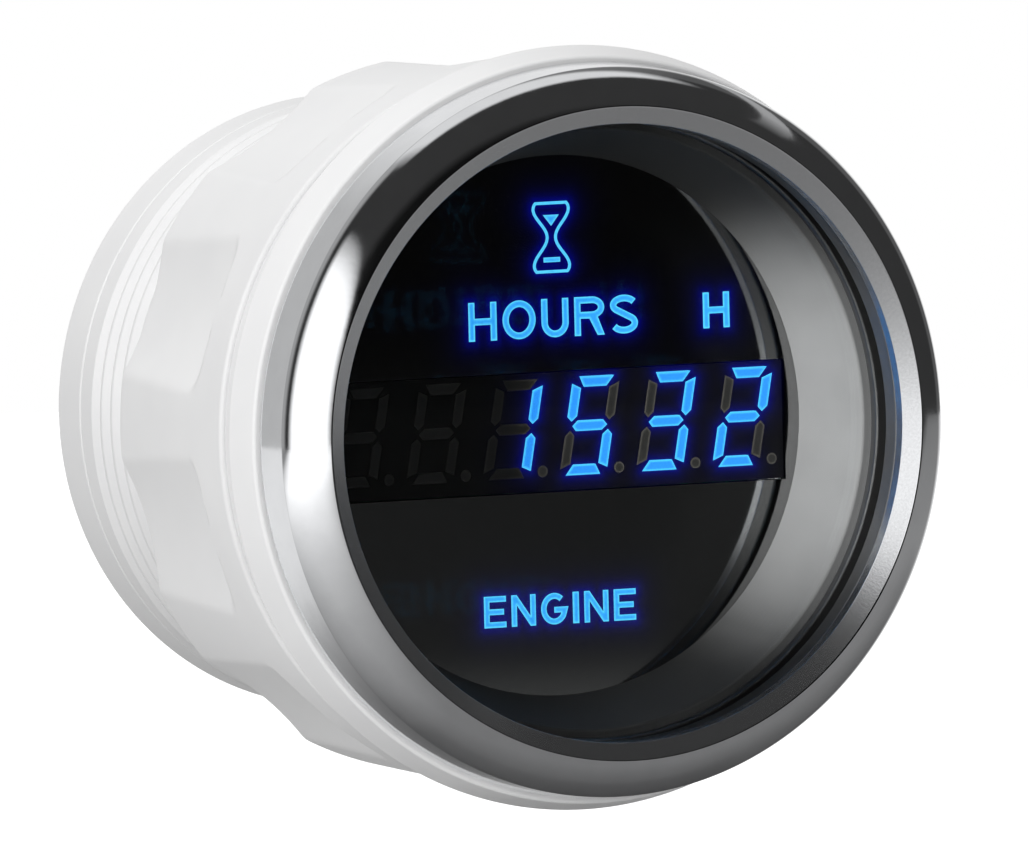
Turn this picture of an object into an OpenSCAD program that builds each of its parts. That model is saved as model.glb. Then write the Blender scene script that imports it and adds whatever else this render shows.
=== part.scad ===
// Digital hour meter for a round panel hole.
// A threaded plastic case carries a flange, a plated bezel, a lens and a lit dial with a six-digit display.
// The flange sits on the front of the panel and a lobed nut clamps it from behind.
// Every piece is drawn about the meter's axis, local Z towards the viewer, from the panel face at zero.
// The finished pieces are turned so that the face looks along -Y with +Z up.

/* [Barrel and flange] */
// Outside diameter of the barrel, over its thread
barrel_d = 51; // [47:0.25:56]
// Wall of the barrel round the dial
barrel_wall = 2.5; // [2.3:0.1:2.8]
// Length of the case behind the panel face
case_len = 41.4; // [38:0.2:48]
// How far the flange reaches past the barrel, on its radius
flange_reach = 6.05; // [5.7:0.05:6.6]
// Thickness of the flange
flange_t = 3.45; // [3:0.05:4.5]
// How much the flange narrows towards the front, on its radius
flange_draft = 0.8; // [0.3:0.05:1.2]
// Chamfer on the edges of the flange
flange_edge = 0.3; // [0.1:0.05:0.5]

/* [Thread] */
// Distance from one thread crest to the next
thread_pitch = 2; // [1.5:0.25:3]
// Depth of the thread
thread_depth = 0.7; // [0.3:0.05:0.9]
// Width of the thread's root
thread_root = 0.2; // [0.1:0.05:0.4]
// Width of the thread's crest
thread_crest = 0.3; // [0.1:0.05:0.5]
// Plain neck between the panel face and the thread
thread_start = 4.5; // [3:0.5:8]
// Plain land between the thread and the rear cover
thread_land = 1.9; // [1:0.1:4]

/* [Bezel] */
// Step in from the flange to the back edge of the bezel
bezel_step = 0.45; // [0.2:0.05:0.8]
// Gap between the flange and the bezel
bezel_gap = 0.28; // [0.1:0.02:0.5]
// Height of the bezel's side wall
bezel_side = 3.5; // [3:0.1:5]
// How much the side wall leans in towards the front
bezel_taper = 0.3; // [0:0.05:0.6]
// Wall of the bezel's skirt at its front corner
bezel_wall = 1.1; // [0.8:0.05:1.4]
// Height of the rounded crown above the side wall
crown_h = 3.04; // [2:0.02:4]
// Radius of the crown's curve across its section
crown_r = 4.6; // [4:0.1:8]
// Width of the bevel between the crown and the lens opening
bevel_w = 1.45; // [1:0.05:1.8]
// Depth of the bevel
bevel_h = 0.83; // [0.4:0.01:1.2]
// Height of the straight wall inside the bevel
lip_h = 1.15; // [0.6:0.05:1.6]
// Depth of the snap hook round the back of the skirt
hook_d = 0.4; // [0.2:0.05:0.6]
// Height of the snap hook
hook_h = 0.8; // [0.5:0.1:1.2]

/* [Lens stack] */
// Wall of the case's spigot round the lens
spigot_wall = 1.2; // [0.9:0.1:1.5]
// How far the bezel's lip laps over the lens
lens_lap = 2; // [1.5:0.05:2.3]
// Thickness of the lens
lens_t = 2.1; // [1.5:0.1:2.5]
// Thickness of the gasket in front of the lens
gasket_t = 2.06; // [1.6:0.02:2.4]
// Thickness of the seal behind the lens
seal_t = 1.1; // [0.6:0.1:1.5]
// Width of the flat rim shown by the reflector ring
rim_w = 0.9; // [0.5:0.05:1.3]
// Thickness of the reflector ring's rim
rim_t = 1.2; // [0.9:0.05:1.6]
// Wall of the reflector ring's cone
cone_wall = 0.6; // [0.5:0.05:0.8]
// Depth of the cone from the rim down to the dial
cone_depth = 7; // [6:0.1:9]

/* [Dial and display] */
// Thickness of the dial
dial_t = 1; // [0.6:0.1:1.5]
// Height of the display's face
display_h = 9.77; // [9.2:0.01:11]
// Height of the display's centre, above the axis when positive
display_up = -0.525; // [-1:0.005:0]
// Depth of the display's body
display_depth = 6.8; // [5:0.1:9]
// How far the display's face lies behind the face of the dial
display_set = 0.2; // [0.1:0.05:0.5]
// Plain margin before the first digit
display_lead = 0.2; // [0.1:0.05:0.4]
// Plain margin after the last decimal point
display_tail = 0.6; // [0.2:0.05:0.8]
// Number of digits
digit_count = 6; // [4:1:6]
// Dial left between the corners of the display and the edge of the dial
display_margin = 1.32; // [1:0.02:2.4]
// Height of a digit
digit_h = 8.08; // [7.5:0.01:8.6]
// Width of a digit
digit_w = 4.28; // [4:0.01:4.4]
// Lean of the digits in degrees
digit_lean = 10.4; // [0:0.1:11]
// Height of the digits' centre, above the display's centre when positive
digit_up = 0.355; // [0:0.005:0.5]
// Width of a segment
segment_t = 0.84; // [0.6:0.02:1]
// Radius of a decimal point
point_r = 0.45; // [0.3:0.05:0.55]
// Depth of the wells that the segments fill
segment_depth = 0.5; // [0.3:0.1:1]

/* [Boards] */
// Thickness of both circuit boards
board_t = 1.6; // [1:0.1:2]
// Room between the main board and the rear cover
board_room = 13.83; // [12:0.01:16]
// Distance of the spacers in from the edge of the boards
spacer_inset = 5.7; // [5:0.1:6.4]
// Width across the flats of a spacer
spacer_af = 4.5; // [4:0.25:5]
// Height of the backlight LEDs
led_h = 1.8; // [1:0.1:2.4]

/* [Rear cover] */
// Thickness of the band seen behind the seam
cover_band = 4.8; // [4.5:0.1:6]
// Depth of the recess in the back of the cover
cover_recess = 2.5; // [1.5:0.1:2.8]
// Wall round that recess
cover_rim = 3.1; // [2.4:0.1:3.3]
// Length of the cover's spigot inside the case
cover_spigot = 2; // [1.2:0.1:3]
// Rounding of the cover's rear edge
cover_edge = 0.8; // [0.3:0.1:1.4]
// Distance of the cover screws in from the bore of the case
screw_inset = 2.8; // [2.6:0.05:3.1]
// Radius of the bosses that take the cover screws
boss_r = 3.2; // [3:0.1:3.6]
// Depth of the screw holes in the bosses
boss_hole = 9; // [6:0.5:11]

/* [Terminals] */
// Width of a terminal blade
blade_w = 6.3; // [4.8:0.1:6.6]
// Thickness of a terminal blade
blade_t = 0.8; // [0.5:0.1:1]
// Length of a terminal blade outside the cover
blade_len = 8; // [6:0.5:10]

/* [Fixing nut] */
// Room left for the panel between the flange and the washer
panel_gap = 2.5; // [2.2:0.1:6]
// Thickness of the washer
washer_t = 1.2; // [0.8:0.1:2]
// Length of the nut
nut_len = 21.1; // [16:0.1:26]
// Wall of the nut under its lobes, at the rear
nut_wall = 3.9; // [2.8:0.1:4.5]
// How much the nut widens towards the panel, on its radius
nut_draft = 0.7; // [0:0.1:1]
// Number of lobes
lobe_count = 10; // [6:1:12]
// Angle of the first lobe from the right
lobe_at = -2.2; // [-18:0.1:18]
// Depth of the hollows between the lobes, at the rear
hollow_depth = 1.2; // [0.6:0.1:1.6]
// Angle that each hollow spans, at the rear
hollow_span = 22; // [14:0.5:25]
// Length of the round collar between the hollows and the panel
collar_len = 4.6; // [3:0.1:8]
// Radius of the rounded end of each hollow
hollow_end = 2.5; // [1:0.25:4]
// Chamfer on the nut's rear edges
nut_edge = 0.35; // [0.1:0.05:0.8]

/* [Hidden] */
$fn = 96;
// Running fits and small gaps
bezel_fit = 0.1;
lens_fit = 0.2;
cone_fit = 0.15;
dial_fit = 0.15;
window_fit = 0.1;
well_fit = 0.04;
board_fit = 0.3;
cover_fit = 0.2;
hole_fit = 0.1;
blade_fit = 0.08;
thread_fit = 0.3;
spigot_gap = 0.3;
guide_gap = 0.4;
part_gap = 0.65;
// Far enough past a face for a clean cut
past = 1;

// Heights along the axis, from the front to the rear
bezel_back = flange_t + bezel_gap;
corner_h = bezel_back + bezel_side;
crest_h = corner_h + crown_h;
lip_top = crest_h - bevel_h;
lip_back = lip_top - lip_h;
lens_front = lip_back - gasket_t;
lens_back = lens_front - lens_t;
rim_top = lens_back - seal_t;
rim_back = rim_top - rim_t;
spigot_top = lip_back - spigot_gap;
dial_face = rim_top - cone_depth;
dial_back = dial_face - dial_t;
display_face = dial_face - display_set;
board_front = display_face - display_depth;
board_back = board_front - board_t;
case_back = -case_len;
cover_inner = case_back + cover_spigot;
cover_back = case_back - cover_band;
recess_floor = cover_back + cover_recess;
main_back = cover_inner + board_room;
main_front = main_back + board_t;
spacer_len = board_back - main_front;
nut_front = -panel_gap - washer_t;
nut_back = nut_front - nut_len;

// Radii, from the barrel out to the flange and from there inwards
barrel_r = barrel_d / 2;
flange_r = barrel_r + flange_reach;
flange_front_r = flange_r - flange_draft;
bezel_back_r = flange_front_r - bezel_step;
corner_r = bezel_back_r - bezel_taper;
skirt_r = corner_r - bezel_wall;
spigot_r = skirt_r - bezel_fit;
well_r = spigot_r - spigot_wall;
lens_r = well_r - lens_fit;
view_r = lens_r - lens_lap;
crest_r = view_r + bevel_w;
rim_r = view_r - rim_w;

// Radii, from the barrel inwards and out over the nut
dial_ledge = 1;
dial_bore_r = barrel_r - barrel_wall;
dial_r = dial_bore_r - dial_fit;
dial_view_r = dial_r - cone_wall;
bore_r = dial_bore_r - dial_ledge;
board_r = bore_r - board_fit;
guide_r = bore_r - board_fit;
cover_spigot_r = bore_r - cover_fit;
recess_r = barrel_r - cover_rim;
nut_bore_r = barrel_r + thread_fit;
nut_r = nut_bore_r + nut_wall;
washer_r = nut_r + nut_draft - nut_edge;

// Whole turns of thread that fit between the neck and the land, and the axial width of a flank
thread_flank = (thread_pitch - thread_crest - thread_root) / 2;
thread_end = case_len - thread_land;
thread_turns = floor((thread_end - thread_start) / thread_pitch);

// Slope of the reflector's cone, as radius gained for each millimetre of height
cone_edge = 0.3;
cone_slope = (rim_r - dial_view_r) / (cone_depth - cone_edge);
function cone_r(h) = dial_view_r + (h - dial_face) * cone_slope;

// The display is as wide as the dial lets its corners be, and its digits share that width
display_reach = abs(display_up) + display_h / 2;
display_w = 2 * sqrt(pow(dial_r - display_margin, 2) - pow(display_reach, 2));
lean_reach = digit_h / 2 * tan(digit_lean);
point_gap = 0.45;
point_shift = digit_w / 2 + point_gap;
digit_first = -display_w / 2 + display_lead + digit_w / 2 + lean_reach;
digit_last = display_w / 2 - display_tail - point_r - point_shift;
digit_pitch = (digit_last - digit_first) / (digit_count - 1);
tip_len = segment_t / 2;
bar_gap = 0.15;
mitre_out = 0.57;
mitre_in = 1.13;
side_out = 0.56;
side_in = 0.94;
side_tip = 0.39;
// Segments that each digit lights, in the order top, upper right, lower right, bottom, lower left,
// upper left, middle. The first digits of the row are dark.
digit_lit = [
    [],
    [],
    [1, 2],
    [0, 2, 3, 5, 6],
    [0, 1, 2, 3, 6],
    [0, 1, 3, 4, 6]
];

// Flat sides of the two light guides, just clear of the display, and the LEDs in their pockets
upper_side = display_up + display_h / 2 + window_fit + guide_gap;
lower_side = display_up - display_h / 2 - window_fit - guide_gap;
led_size = [3.5, 2.8];
led_inset = 6.8;
corner_led_inset = 4.7;
corner_led_angle = 47.4;
word_led_x = 5.5;
word_led_rise = 4.14;
function near_edge(angle, inset) = (guide_r - inset) * [cos(angle), sin(angle)];
upper_leds = [
    near_edge(90, led_inset),
    near_edge(corner_led_angle, corner_led_inset),
    [-word_led_x, upper_side + word_led_rise],
    [word_led_x, upper_side + word_led_rise]
];
lower_leds = [near_edge(250, led_inset), near_edge(290, led_inset)];

// Spacers between the boards and bosses for the cover screws, in two sets of three
spacer_angles = [30, 150, 270];
spacer_at = board_r - spacer_inset;
spacer_r = spacer_af / 2 / cos(30);
pin_r = 1.2;
boss_angles = [90, 210, 330];
screw_at = bore_r - screw_inset;
boss_x = screw_at * cos(30);
screw_r = 1;
screw_head_r = 2.1;
screw_head_h = 1.6;

// Header between the boards, beside the lowest spacer
header_pins = 10;
header_pitch = 2.54;
header_w = 2.5;
header_block = 2.5;
header_pin_w = 0.45;
header_hole_r = 0.52;
header_at = [0, spacer_r + header_w / 2 + part_gap - spacer_at];
lead_past = 0.6;

// Board parts, each with its size across the board, its height and its place
counter_size = [5.3, 7.2];
counter_h = 1.75;
counter_at = [0, 5];
counter_leads = 10;
memory_size = [3.9, 4.9];
memory_h = 1.5;
memory_at = [11.5, -2];
memory_leads = 4;
chip_lead = [1, 0.4];
chip_lead_t = 0.2;
chip_stand = 0.1;
crystal_size = [10.8, 4.5];
crystal_h = 3.5;
crystal_rise = 5.1;
crystal_at = [-7.2, header_at.y + crystal_rise];
capacitor_r = 4;
capacitor_h = 10;
capacitor_gap = 1.5;
capacitor_at = [0, screw_at - boss_r - capacitor_r - capacitor_gap];
regulator_size = [6.5, 6.1];
regulator_h = 2.3;
regulator_at = [boss_x - boss_r - regulator_size.x / 2 - part_gap, -4];
diode_size = [4.6, 2.7];
diode_h = 2.1;
diode_at = [diode_size.x / 2 + part_gap + boss_r - boss_x, -3.5];
resistor_size = [2, 1.25];
resistor_h = 0.5;
resistor_first = 6;
resistor_step = 3;
resistor_drop = 3.5;

// Terminal blades stand in a triangle
blade_x = 9;
blade_y = 4.5;
blade_rise = 3.5;
blade_places = [[-blade_x, blade_y], [blade_x, blade_y], [0, header_at.y + blade_rise]];
blade_shoulder = 0.9;
blade_shoulder_w = 1;
leg_w = 2;
blade_tip = 1.2;
blade_hole_r = 0.9;

// Turns the meter's own axis to look along -Y with the dial upright
module on_axis() {
    rotate([90, 0, 0]) children();
}

// A turned ring with a square section
module ring(r_out, r_in, top, bottom) {
    translate([0, 0, bottom]) difference() {
        cylinder(r = r_out, h = top - bottom);
        translate([0, 0, -past]) cylinder(r = r_in, h = top - bottom + 2 * past);
    }
}

// A plain disc between two heights
module disc(r, top, bottom) {
    translate([0, 0, bottom]) cylinder(r = r, h = top - bottom);
}

// A block about a centre, between two heights
module block(size, centre, top, bottom) {
    translate([centre.x - size.x / 2, centre.y - size.y / 2, bottom])
        cube([size.x, size.y, top - bottom]);
}

// Copies of a child at angles round the axis, each at a distance from it
module round_axis(angles, distance) {
    for (angle = angles) rotate(angle) translate([distance, 0, 0]) children();
}

// Centre of the arc of radius r that runs anticlockwise from p to q
function arc_centre(p, q, r) =
    let (d = q - p, l = norm(d)) (p + q) / 2 + [-d.y, d.x] / l * sqrt(r * r - l * l / 4);

// Outline of the thread from the neck to the land, crest by crest
function thread_points() = [
    for (turn = [0 : thread_turns - 1])
        let (h = -thread_start - turn * thread_pitch)
            each [
                [barrel_r, h],
                [barrel_r - thread_depth, h - thread_flank],
                [barrel_r - thread_depth, h - thread_flank - thread_root],
                [barrel_r, h - 2 * thread_flank - thread_root]
            ]
];

// Half section of the case: spigot, snap groove, flange, neck, thread, land, bore, ledge and cone
module case_section() {
    groove_r = spigot_r - hook_d;
    groove_top = bezel_back + hook_h + bezel_fit;
    polygon(concat(
        [
            [well_r, spigot_top],
            [spigot_r, spigot_top],
            [spigot_r, groove_top],
            [groove_r, groove_top],
            [groove_r, flange_t],
            [flange_front_r - flange_edge, flange_t],
            [flange_front_r, flange_t - flange_edge],
            [flange_r, flange_edge],
            [flange_r - flange_edge, 0],
            [barrel_r, 0]
        ],
        thread_points(),
        [
            [barrel_r, case_back + flange_edge],
            [barrel_r - flange_edge, case_back],
            [bore_r, case_back],
            [bore_r, dial_back],
            [dial_bore_r, dial_back],
            [dial_bore_r, dial_face],
            [cone_r(rim_back) + cone_wall + cone_fit, rim_back],
            [well_r, rim_back]
        ]
    ));
}

// White moulded case with bosses inside for the cover screws
module case() {
    color("whitesmoke") on_axis() difference() {
        union() {
            rotate_extrude() case_section();
            intersection() {
                round_axis(boss_angles, screw_at) disc(boss_r, main_back, cover_inner);
                disc(bore_r + dial_ledge, main_back, cover_inner);
            }
        }
        round_axis(boss_angles, screw_at)
            disc(screw_r + hole_fit, cover_inner + boss_hole, cover_inner - past);
    }
}

// White moulded cover that closes the back of the case and carries the terminals
module rear_cover() {
    color("whitesmoke") on_axis() difference() {
        rotate_extrude() polygon([
            [0, cover_inner],
            [cover_spigot_r, cover_inner],
            [cover_spigot_r, case_back],
            [barrel_r - flange_edge, case_back],
            [barrel_r, case_back - flange_edge],
            [barrel_r, cover_back + cover_edge],
            [barrel_r - cover_edge, cover_back],
            [recess_r, cover_back],
            [recess_r, recess_floor],
            [0, recess_floor]
        ]);
        round_axis(boss_angles, screw_at) disc(screw_r + 2 * hole_fit, cover_inner + past, cover_back);
        for (place = blade_places)
            block(
                [blade_w + 2 * blade_fit, blade_t + 2 * blade_fit], place,
                cover_inner + past, cover_back
            );
    }
}

// A pan-head screw whose head lies under a seat and whose shank goes up from it
module pan_screw(seat, shank) {
    disc(screw_head_r, seat, seat - screw_head_h);
    disc(screw_r, seat + shank, seat);
}

// Three screws that hold the rear cover to the bosses
module cover_screws() {
    color("silver") on_axis() round_axis(boss_angles, screw_at)
        pan_screw(recess_floor, cover_inner - recess_floor + boss_hole - past);
}

// Half section of the bezel: snap hook, skirt, rounded crown, bevel and lip
module bezel_section() {
    corner = [corner_r, corner_h];
    crest = [crest_r, crest_h];
    polygon([
        [skirt_r - hook_d, bezel_back],
        [bezel_back_r, bezel_back],
        corner,
        [skirt_r, corner_h],
        [skirt_r, bezel_back + hook_h],
        [skirt_r - hook_d, bezel_back + hook_h / 2]
    ]);
    intersection() {
        polygon([
            [view_r, lip_back],
            [skirt_r, lip_back],
            [skirt_r, corner_h],
            corner,
            [corner_r, crest_h],
            crest,
            [view_r, lip_top]
        ]);
        translate(arc_centre(corner, crest, crown_r)) circle(crown_r);
    }
}

// Chrome-plated bezel that snaps over the spigot and holds the lens stack down
module bezel() {
    color("silver") on_axis() rotate_extrude() bezel_section();
}

// Black gasket between the bezel's lip and the lens
module lens_gasket() {
    color([0.06, 0.06, 0.06]) on_axis() ring(lens_r, view_r, lip_back, lens_front);
}

// Clear lens
module lens() {
    color([0.8, 0.85, 0.9, 0.35]) on_axis() disc(lens_r, lens_front, lens_back);
}

// Black seal between the lens and the reflector ring
module lens_seal() {
    color([0.06, 0.06, 0.06]) on_axis() ring(lens_r, view_r, lens_back, rim_top);
}

// Grey moulded ring whose cone leads from the lens down to the dial
module reflector_ring() {
    color("dimgray") on_axis() rotate_extrude() polygon([
        [rim_r + cone_edge, rim_top],
        [lens_r, rim_top],
        [lens_r, rim_back],
        [cone_r(rim_back) + cone_wall, rim_back],
        [dial_view_r + cone_wall, dial_face],
        [dial_view_r, dial_face],
        [rim_r, rim_top - cone_edge]
    ]);
}

// Black dial with a window for the display
module dial() {
    color([0.03, 0.03, 0.03]) on_axis() difference() {
        disc(dial_r, dial_face, dial_back);
        block(
            [display_w + 2 * window_fit, display_h + 2 * window_fit], [0, display_up],
            dial_face + past, dial_back - past
        );
    }
}

// Leans a point of an upright digit
function leaned(p) = [p.x + p.y * tan(digit_lean), p.y];

// Corners of a segment in an upright digit, grown by g, for bars numbered as in digit_lit
function segment_points(bar, g = 0) =
    bar == 0 ? top_bar(1, g) :
    bar == 3 ? top_bar(-1, g) :
    bar == 6 ? middle_bar(g) :
    side_bar(bar == 1 || bar == 2 ? 1 : -1, bar == 1 || bar == 5 ? 1 : -1, g);
function top_bar(up, g) = let (w = digit_w / 2, h = digit_h / 2) [
    [mitre_out - w - g, up * (h + g)],
    [w - mitre_out + g, up * (h + g)],
    [w - mitre_in + g, up * (h - segment_t - g)],
    [mitre_in - w - g, up * (h - segment_t - g)]
];
function middle_bar(g) = let (w = digit_w / 2 - tip_len - bar_gap + g, t = segment_t / 2 + g) [
    [-w, 0],
    [tip_len - w, t],
    [w - tip_len, t],
    [w, 0],
    [w - tip_len, -t],
    [tip_len - w, -t]
];
function side_bar(right, up, g) = let (w = digit_w / 2 + g, t = segment_t + 2 * g, h = digit_h / 2 + g) [
    [right * w, up * (h - side_out)],
    [right * w, up * (side_tip + tip_len - g)],
    [right * (w - t / 2), up * (side_tip - g)],
    [right * (w - t), up * (side_tip + tip_len - g)],
    [right * (w - t), up * (h - side_in)]
];

// One segment of a digit between two heights
module segment(bar, top, bottom, g = 0) {
    translate([0, 0, bottom]) linear_extrude(top - bottom)
        polygon([for (p = segment_points(bar, g)) leaned(p)]);
}

// Places children at the centre of a digit of the row
module at_digit(index) {
    translate([digit_first + index * digit_pitch, display_up + digit_up, 0]) children();
}

// Places children at the decimal point beside the digit there
module at_point() {
    translate([point_shift, point_r - digit_h / 2, 0]) children();
}

// True when a digit lights a bar
function is_lit(index, bar) =
    len([for (lit = digit_lit[index + len(digit_lit) - digit_count]) if (lit == bar) lit]) > 0;

// Black body of the display with a shallow well for each segment and point
module display_body() {
    well = display_face - segment_depth - well_fit;
    color([0.04, 0.04, 0.04]) on_axis() difference() {
        block([display_w, display_h], [0, display_up], display_face, board_front);
        for (index = [0 : digit_count - 1]) at_digit(index) {
            for (bar = [0 : 6]) segment(bar, display_face + past, well, well_fit);
            at_point() disc(point_r + well_fit, display_face + past, well);
        }
    }
}

// The bars of every digit that are lit, or every one that is not
module segments(lit) {
    for (index = [0 : digit_count - 1]) at_digit(index)
        for (bar = [0 : 6])
            if (is_lit(index, bar) == lit) segment(bar, display_face, display_face - segment_depth);
}

// Blue segments that show the count
module lit_segments() {
    color("deepskyblue") on_axis() segments(true);
}

// Segments that are off
module dark_segments() {
    color([0.12, 0.12, 0.13]) on_axis() segments(false);
}

// Decimal points, all off
module decimal_points() {
    color([0.12, 0.12, 0.13]) on_axis()
        for (index = [0 : digit_count - 1]) at_digit(index) at_point()
            disc(point_r, display_face, display_face - segment_depth);
}

// A clear block behind the dial with a pocket over each LED
module light_guide(side, leds) {
    pocket = led_size + 2 * hole_fit * [1, 1];
    width = 2 * guide_r;
    difference() {
        intersection() {
            disc(guide_r, dial_back, board_front);
            translate([-guide_r, side > 0 ? side : side - width, board_front])
                cube([width, width, dial_back - board_front]);
        }
        for (led = leds) block(pocket, led, board_front + led_h + hole_fit, board_front - past);
    }
}

// Light guide above the display
module upper_light_guide() {
    color([0.9, 0.95, 1, 0.6]) on_axis() light_guide(upper_side, upper_leds);
}

// Light guide below the display
module lower_light_guide() {
    color([0.9, 0.95, 1, 0.6]) on_axis() light_guide(lower_side, lower_leds);
}

// LEDs that light the legends in the dial
module backlight_leds() {
    color("ivory") on_axis()
        for (led = concat(upper_leds, lower_leds)) block(led_size, led, board_front + led_h, board_front);
}

// Holes for the header's pins, through a board
module header_holes(top, bottom) {
    for (pin = [0 : header_pins - 1])
        translate([header_at.x + (pin - (header_pins - 1) / 2) * header_pitch, header_at.y, 0])
            disc(header_hole_r, top, bottom);
}

// Front board with the display and the LEDs
module display_board() {
    color("darkgreen") on_axis() difference() {
        disc(board_r, board_front, board_back);
        round_axis(spacer_angles, spacer_at)
            disc(pin_r + hole_fit, board_front + past, board_back - past);
        header_holes(board_front + past, board_back - past);
    }
}

// Hexagonal spacers that hold the boards apart, with a pin through the front board
module board_spacers() {
    color("goldenrod") on_axis() round_axis(spacer_angles, spacer_at) difference() {
        union() {
            translate([0, 0, main_front]) cylinder(r = spacer_r, h = spacer_len, $fn = 6);
            disc(pin_r, board_front, board_back);
        }
        disc(screw_r + hole_fit, main_front + spacer_len / 2, main_front - past);
    }
}

// Screws through the main board into the spacers
module board_screws() {
    color("silver") on_axis() round_axis(spacer_angles, spacer_at)
        pan_screw(main_back, board_t + spacer_len / 2 - past);
}

// Pin header between the two boards
module board_header() {
    color([0.1, 0.1, 0.1]) on_axis() {
        block([header_pins * header_pitch, header_w], header_at, main_front + header_block, main_front);
        for (pin = [0 : header_pins - 1])
            block(
                [header_pin_w, header_pin_w],
                header_at + [(pin - (header_pins - 1) / 2) * header_pitch, 0],
                board_front, main_back - lead_past
            );
    }
}

// Rear board with the counter's electronics
module main_board() {
    color("darkgreen") on_axis() difference() {
        disc(board_r, main_front, main_back);
        round_axis(spacer_angles, spacer_at)
            disc(screw_r + 2 * hole_fit, main_front + past, main_back - past);
        header_holes(main_front + past, main_back - past);
        for (place = blade_places)
            block(
                [leg_w + 2 * hole_fit, blade_t + 2 * hole_fit], place,
                main_front + past, main_back - past
            );
    }
}

// A chip with a row of leads on two sides, standing on a board
module chip(size, centre, height, seat, leads) {
    foot = seat + chip_stand;
    block(size, centre, foot + height, foot);
    for (side = [-1, 1], index = [0 : leads - 1])
        block(
            chip_lead,
            centre + [side * (size.x + chip_lead.x) / 2, (index - (leads - 1) / 2) * size.y / leads],
            foot + chip_lead_t, seat
        );
}

// Counter chip on the front of the main board
module microcontroller() {
    color([0.12, 0.12, 0.12]) on_axis()
        chip(counter_size, counter_at, counter_h, main_front, counter_leads);
}

// Memory that keeps the count with the power off
module memory_chip() {
    color([0.12, 0.12, 0.12]) on_axis()
        chip(memory_size, memory_at, memory_h, main_front, memory_leads);
}

// Timing crystal in its can
module crystal() {
    color("silver") on_axis() block(crystal_size, crystal_at, main_front + crystal_h, main_front);
}

// Electrolytic capacitor on the back of the main board
module filter_capacitor() {
    color("gray") on_axis() translate(capacitor_at)
        disc(capacitor_r, main_back, main_back - capacitor_h);
}

// Voltage regulator on the back of the main board
module voltage_regulator() {
    color([0.12, 0.12, 0.12]) on_axis()
        block(regulator_size, regulator_at, main_back, main_back - regulator_h);
}

// Diode that guards against a reversed supply
module protection_diode() {
    color([0.12, 0.12, 0.12]) on_axis() block(diode_size, diode_at, main_back, main_back - diode_h);
}

// Chip resistors in two pairs on the front of the main board
module chip_resistors() {
    color("black") on_axis()
        for (side = [-1, 1], index = [0, 1])
            block(
                resistor_size,
                header_at + [side * (resistor_first + index * resistor_step), -resistor_drop],
                main_front + resistor_h, main_front
            );
}

// A blade terminal: leg through the main board, shoulder inside the cover, blade behind it
module terminal(place) {
    tip = recess_floor - blade_len;
    w = blade_w / 2;
    s = w + blade_shoulder_w;
    color("silver") on_axis() translate([place.x, place.y - blade_t / 2, 0]) rotate([90, 0, 0])
        translate([0, 0, -blade_t]) linear_extrude(blade_t) difference() {
            polygon([
                [-w, cover_inner],
                [-s, cover_inner],
                [-s, cover_inner + blade_shoulder],
                [-leg_w / 2, cover_inner + blade_shoulder],
                [-leg_w / 2, main_front + lead_past],
                [leg_w / 2, main_front + lead_past],
                [leg_w / 2, cover_inner + blade_shoulder],
                [s, cover_inner + blade_shoulder],
                [s, cover_inner],
                [w, cover_inner],
                [w, tip + blade_tip],
                [w - blade_tip, tip],
                [blade_tip - w, tip],
                [-w, tip + blade_tip]
            ]);
            translate([0, tip + blade_len / 2]) circle(blade_hole_r);
        }
}

// Supply terminal
module positive_terminal() {
    terminal(blade_places[0]);
}

// Earth terminal
module negative_terminal() {
    terminal(blade_places[1]);
}

// Run-signal terminal
module signal_terminal() {
    terminal(blade_places[2]);
}

// Flat washer between the panel and the nut
module nut_washer() {
    color("whitesmoke") on_axis() ring(washer_r, nut_bore_r, -panel_gap, -panel_gap - washer_t);
}

// Turned blank of the nut, a little wider at the panel, with its rear edges chamfered
module nut_blank() {
    rotate_extrude() polygon([
        [nut_bore_r, nut_front],
        [nut_r + nut_draft, nut_front],
        [nut_r, nut_back + nut_edge],
        [nut_r - nut_edge, nut_back],
        [nut_bore_r + nut_edge, nut_back],
        [nut_bore_r, nut_back + nut_edge]
    ]);
}

// A round cutter with a rounded end, which leaves one hollow between two lobes
module hollow_cutter() {
    rise = nut_r * (cos(hollow_span / 2) - 1) + hollow_depth;
    half = nut_r * sin(hollow_span / 2);
    r = (rise * rise + half * half) / (2 * rise);
    end = nut_front - collar_len;
    translate([nut_r - hollow_depth + r, 0, 0]) {
        disc(r, end - hollow_end, nut_back - past);
        disc(r - hollow_end, end, end - hollow_end);
        translate([0, 0, end - hollow_end]) rotate_extrude()
            intersection() {
                translate([r - hollow_end, 0]) circle(hollow_end);
                square([r, hollow_end]);
            }
    }
}

// Lobed nut that clamps the panel against the flange
module fixing_nut() {
    step = 360 / lobe_count;
    color("whitesmoke") on_axis() difference() {
        nut_blank();
        for (index = [0 : lobe_count - 1])
            rotate(lobe_at + (index + 0.5) * step) hollow_cutter();
    }
}

case();
rear_cover();
cover_screws();
bezel();
lens_gasket();
lens();
lens_seal();
reflector_ring();
dial();
display_body();
lit_segments();
dark_segments();
decimal_points();
upper_light_guide();
lower_light_guide();
backlight_leds();
display_board();
board_spacers();
board_screws();
board_header();
main_board();
microcontroller();
memory_chip();
crystal();
filter_capacitor();
voltage_regulator();
protection_diode();
chip_resistors();
positive_terminal();
negative_terminal();
signal_terminal();
nut_washer();
fixing_nut();
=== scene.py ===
import math

import bmesh
import bpy
import numpy as np
from mathutils import Matrix, Vector


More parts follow.
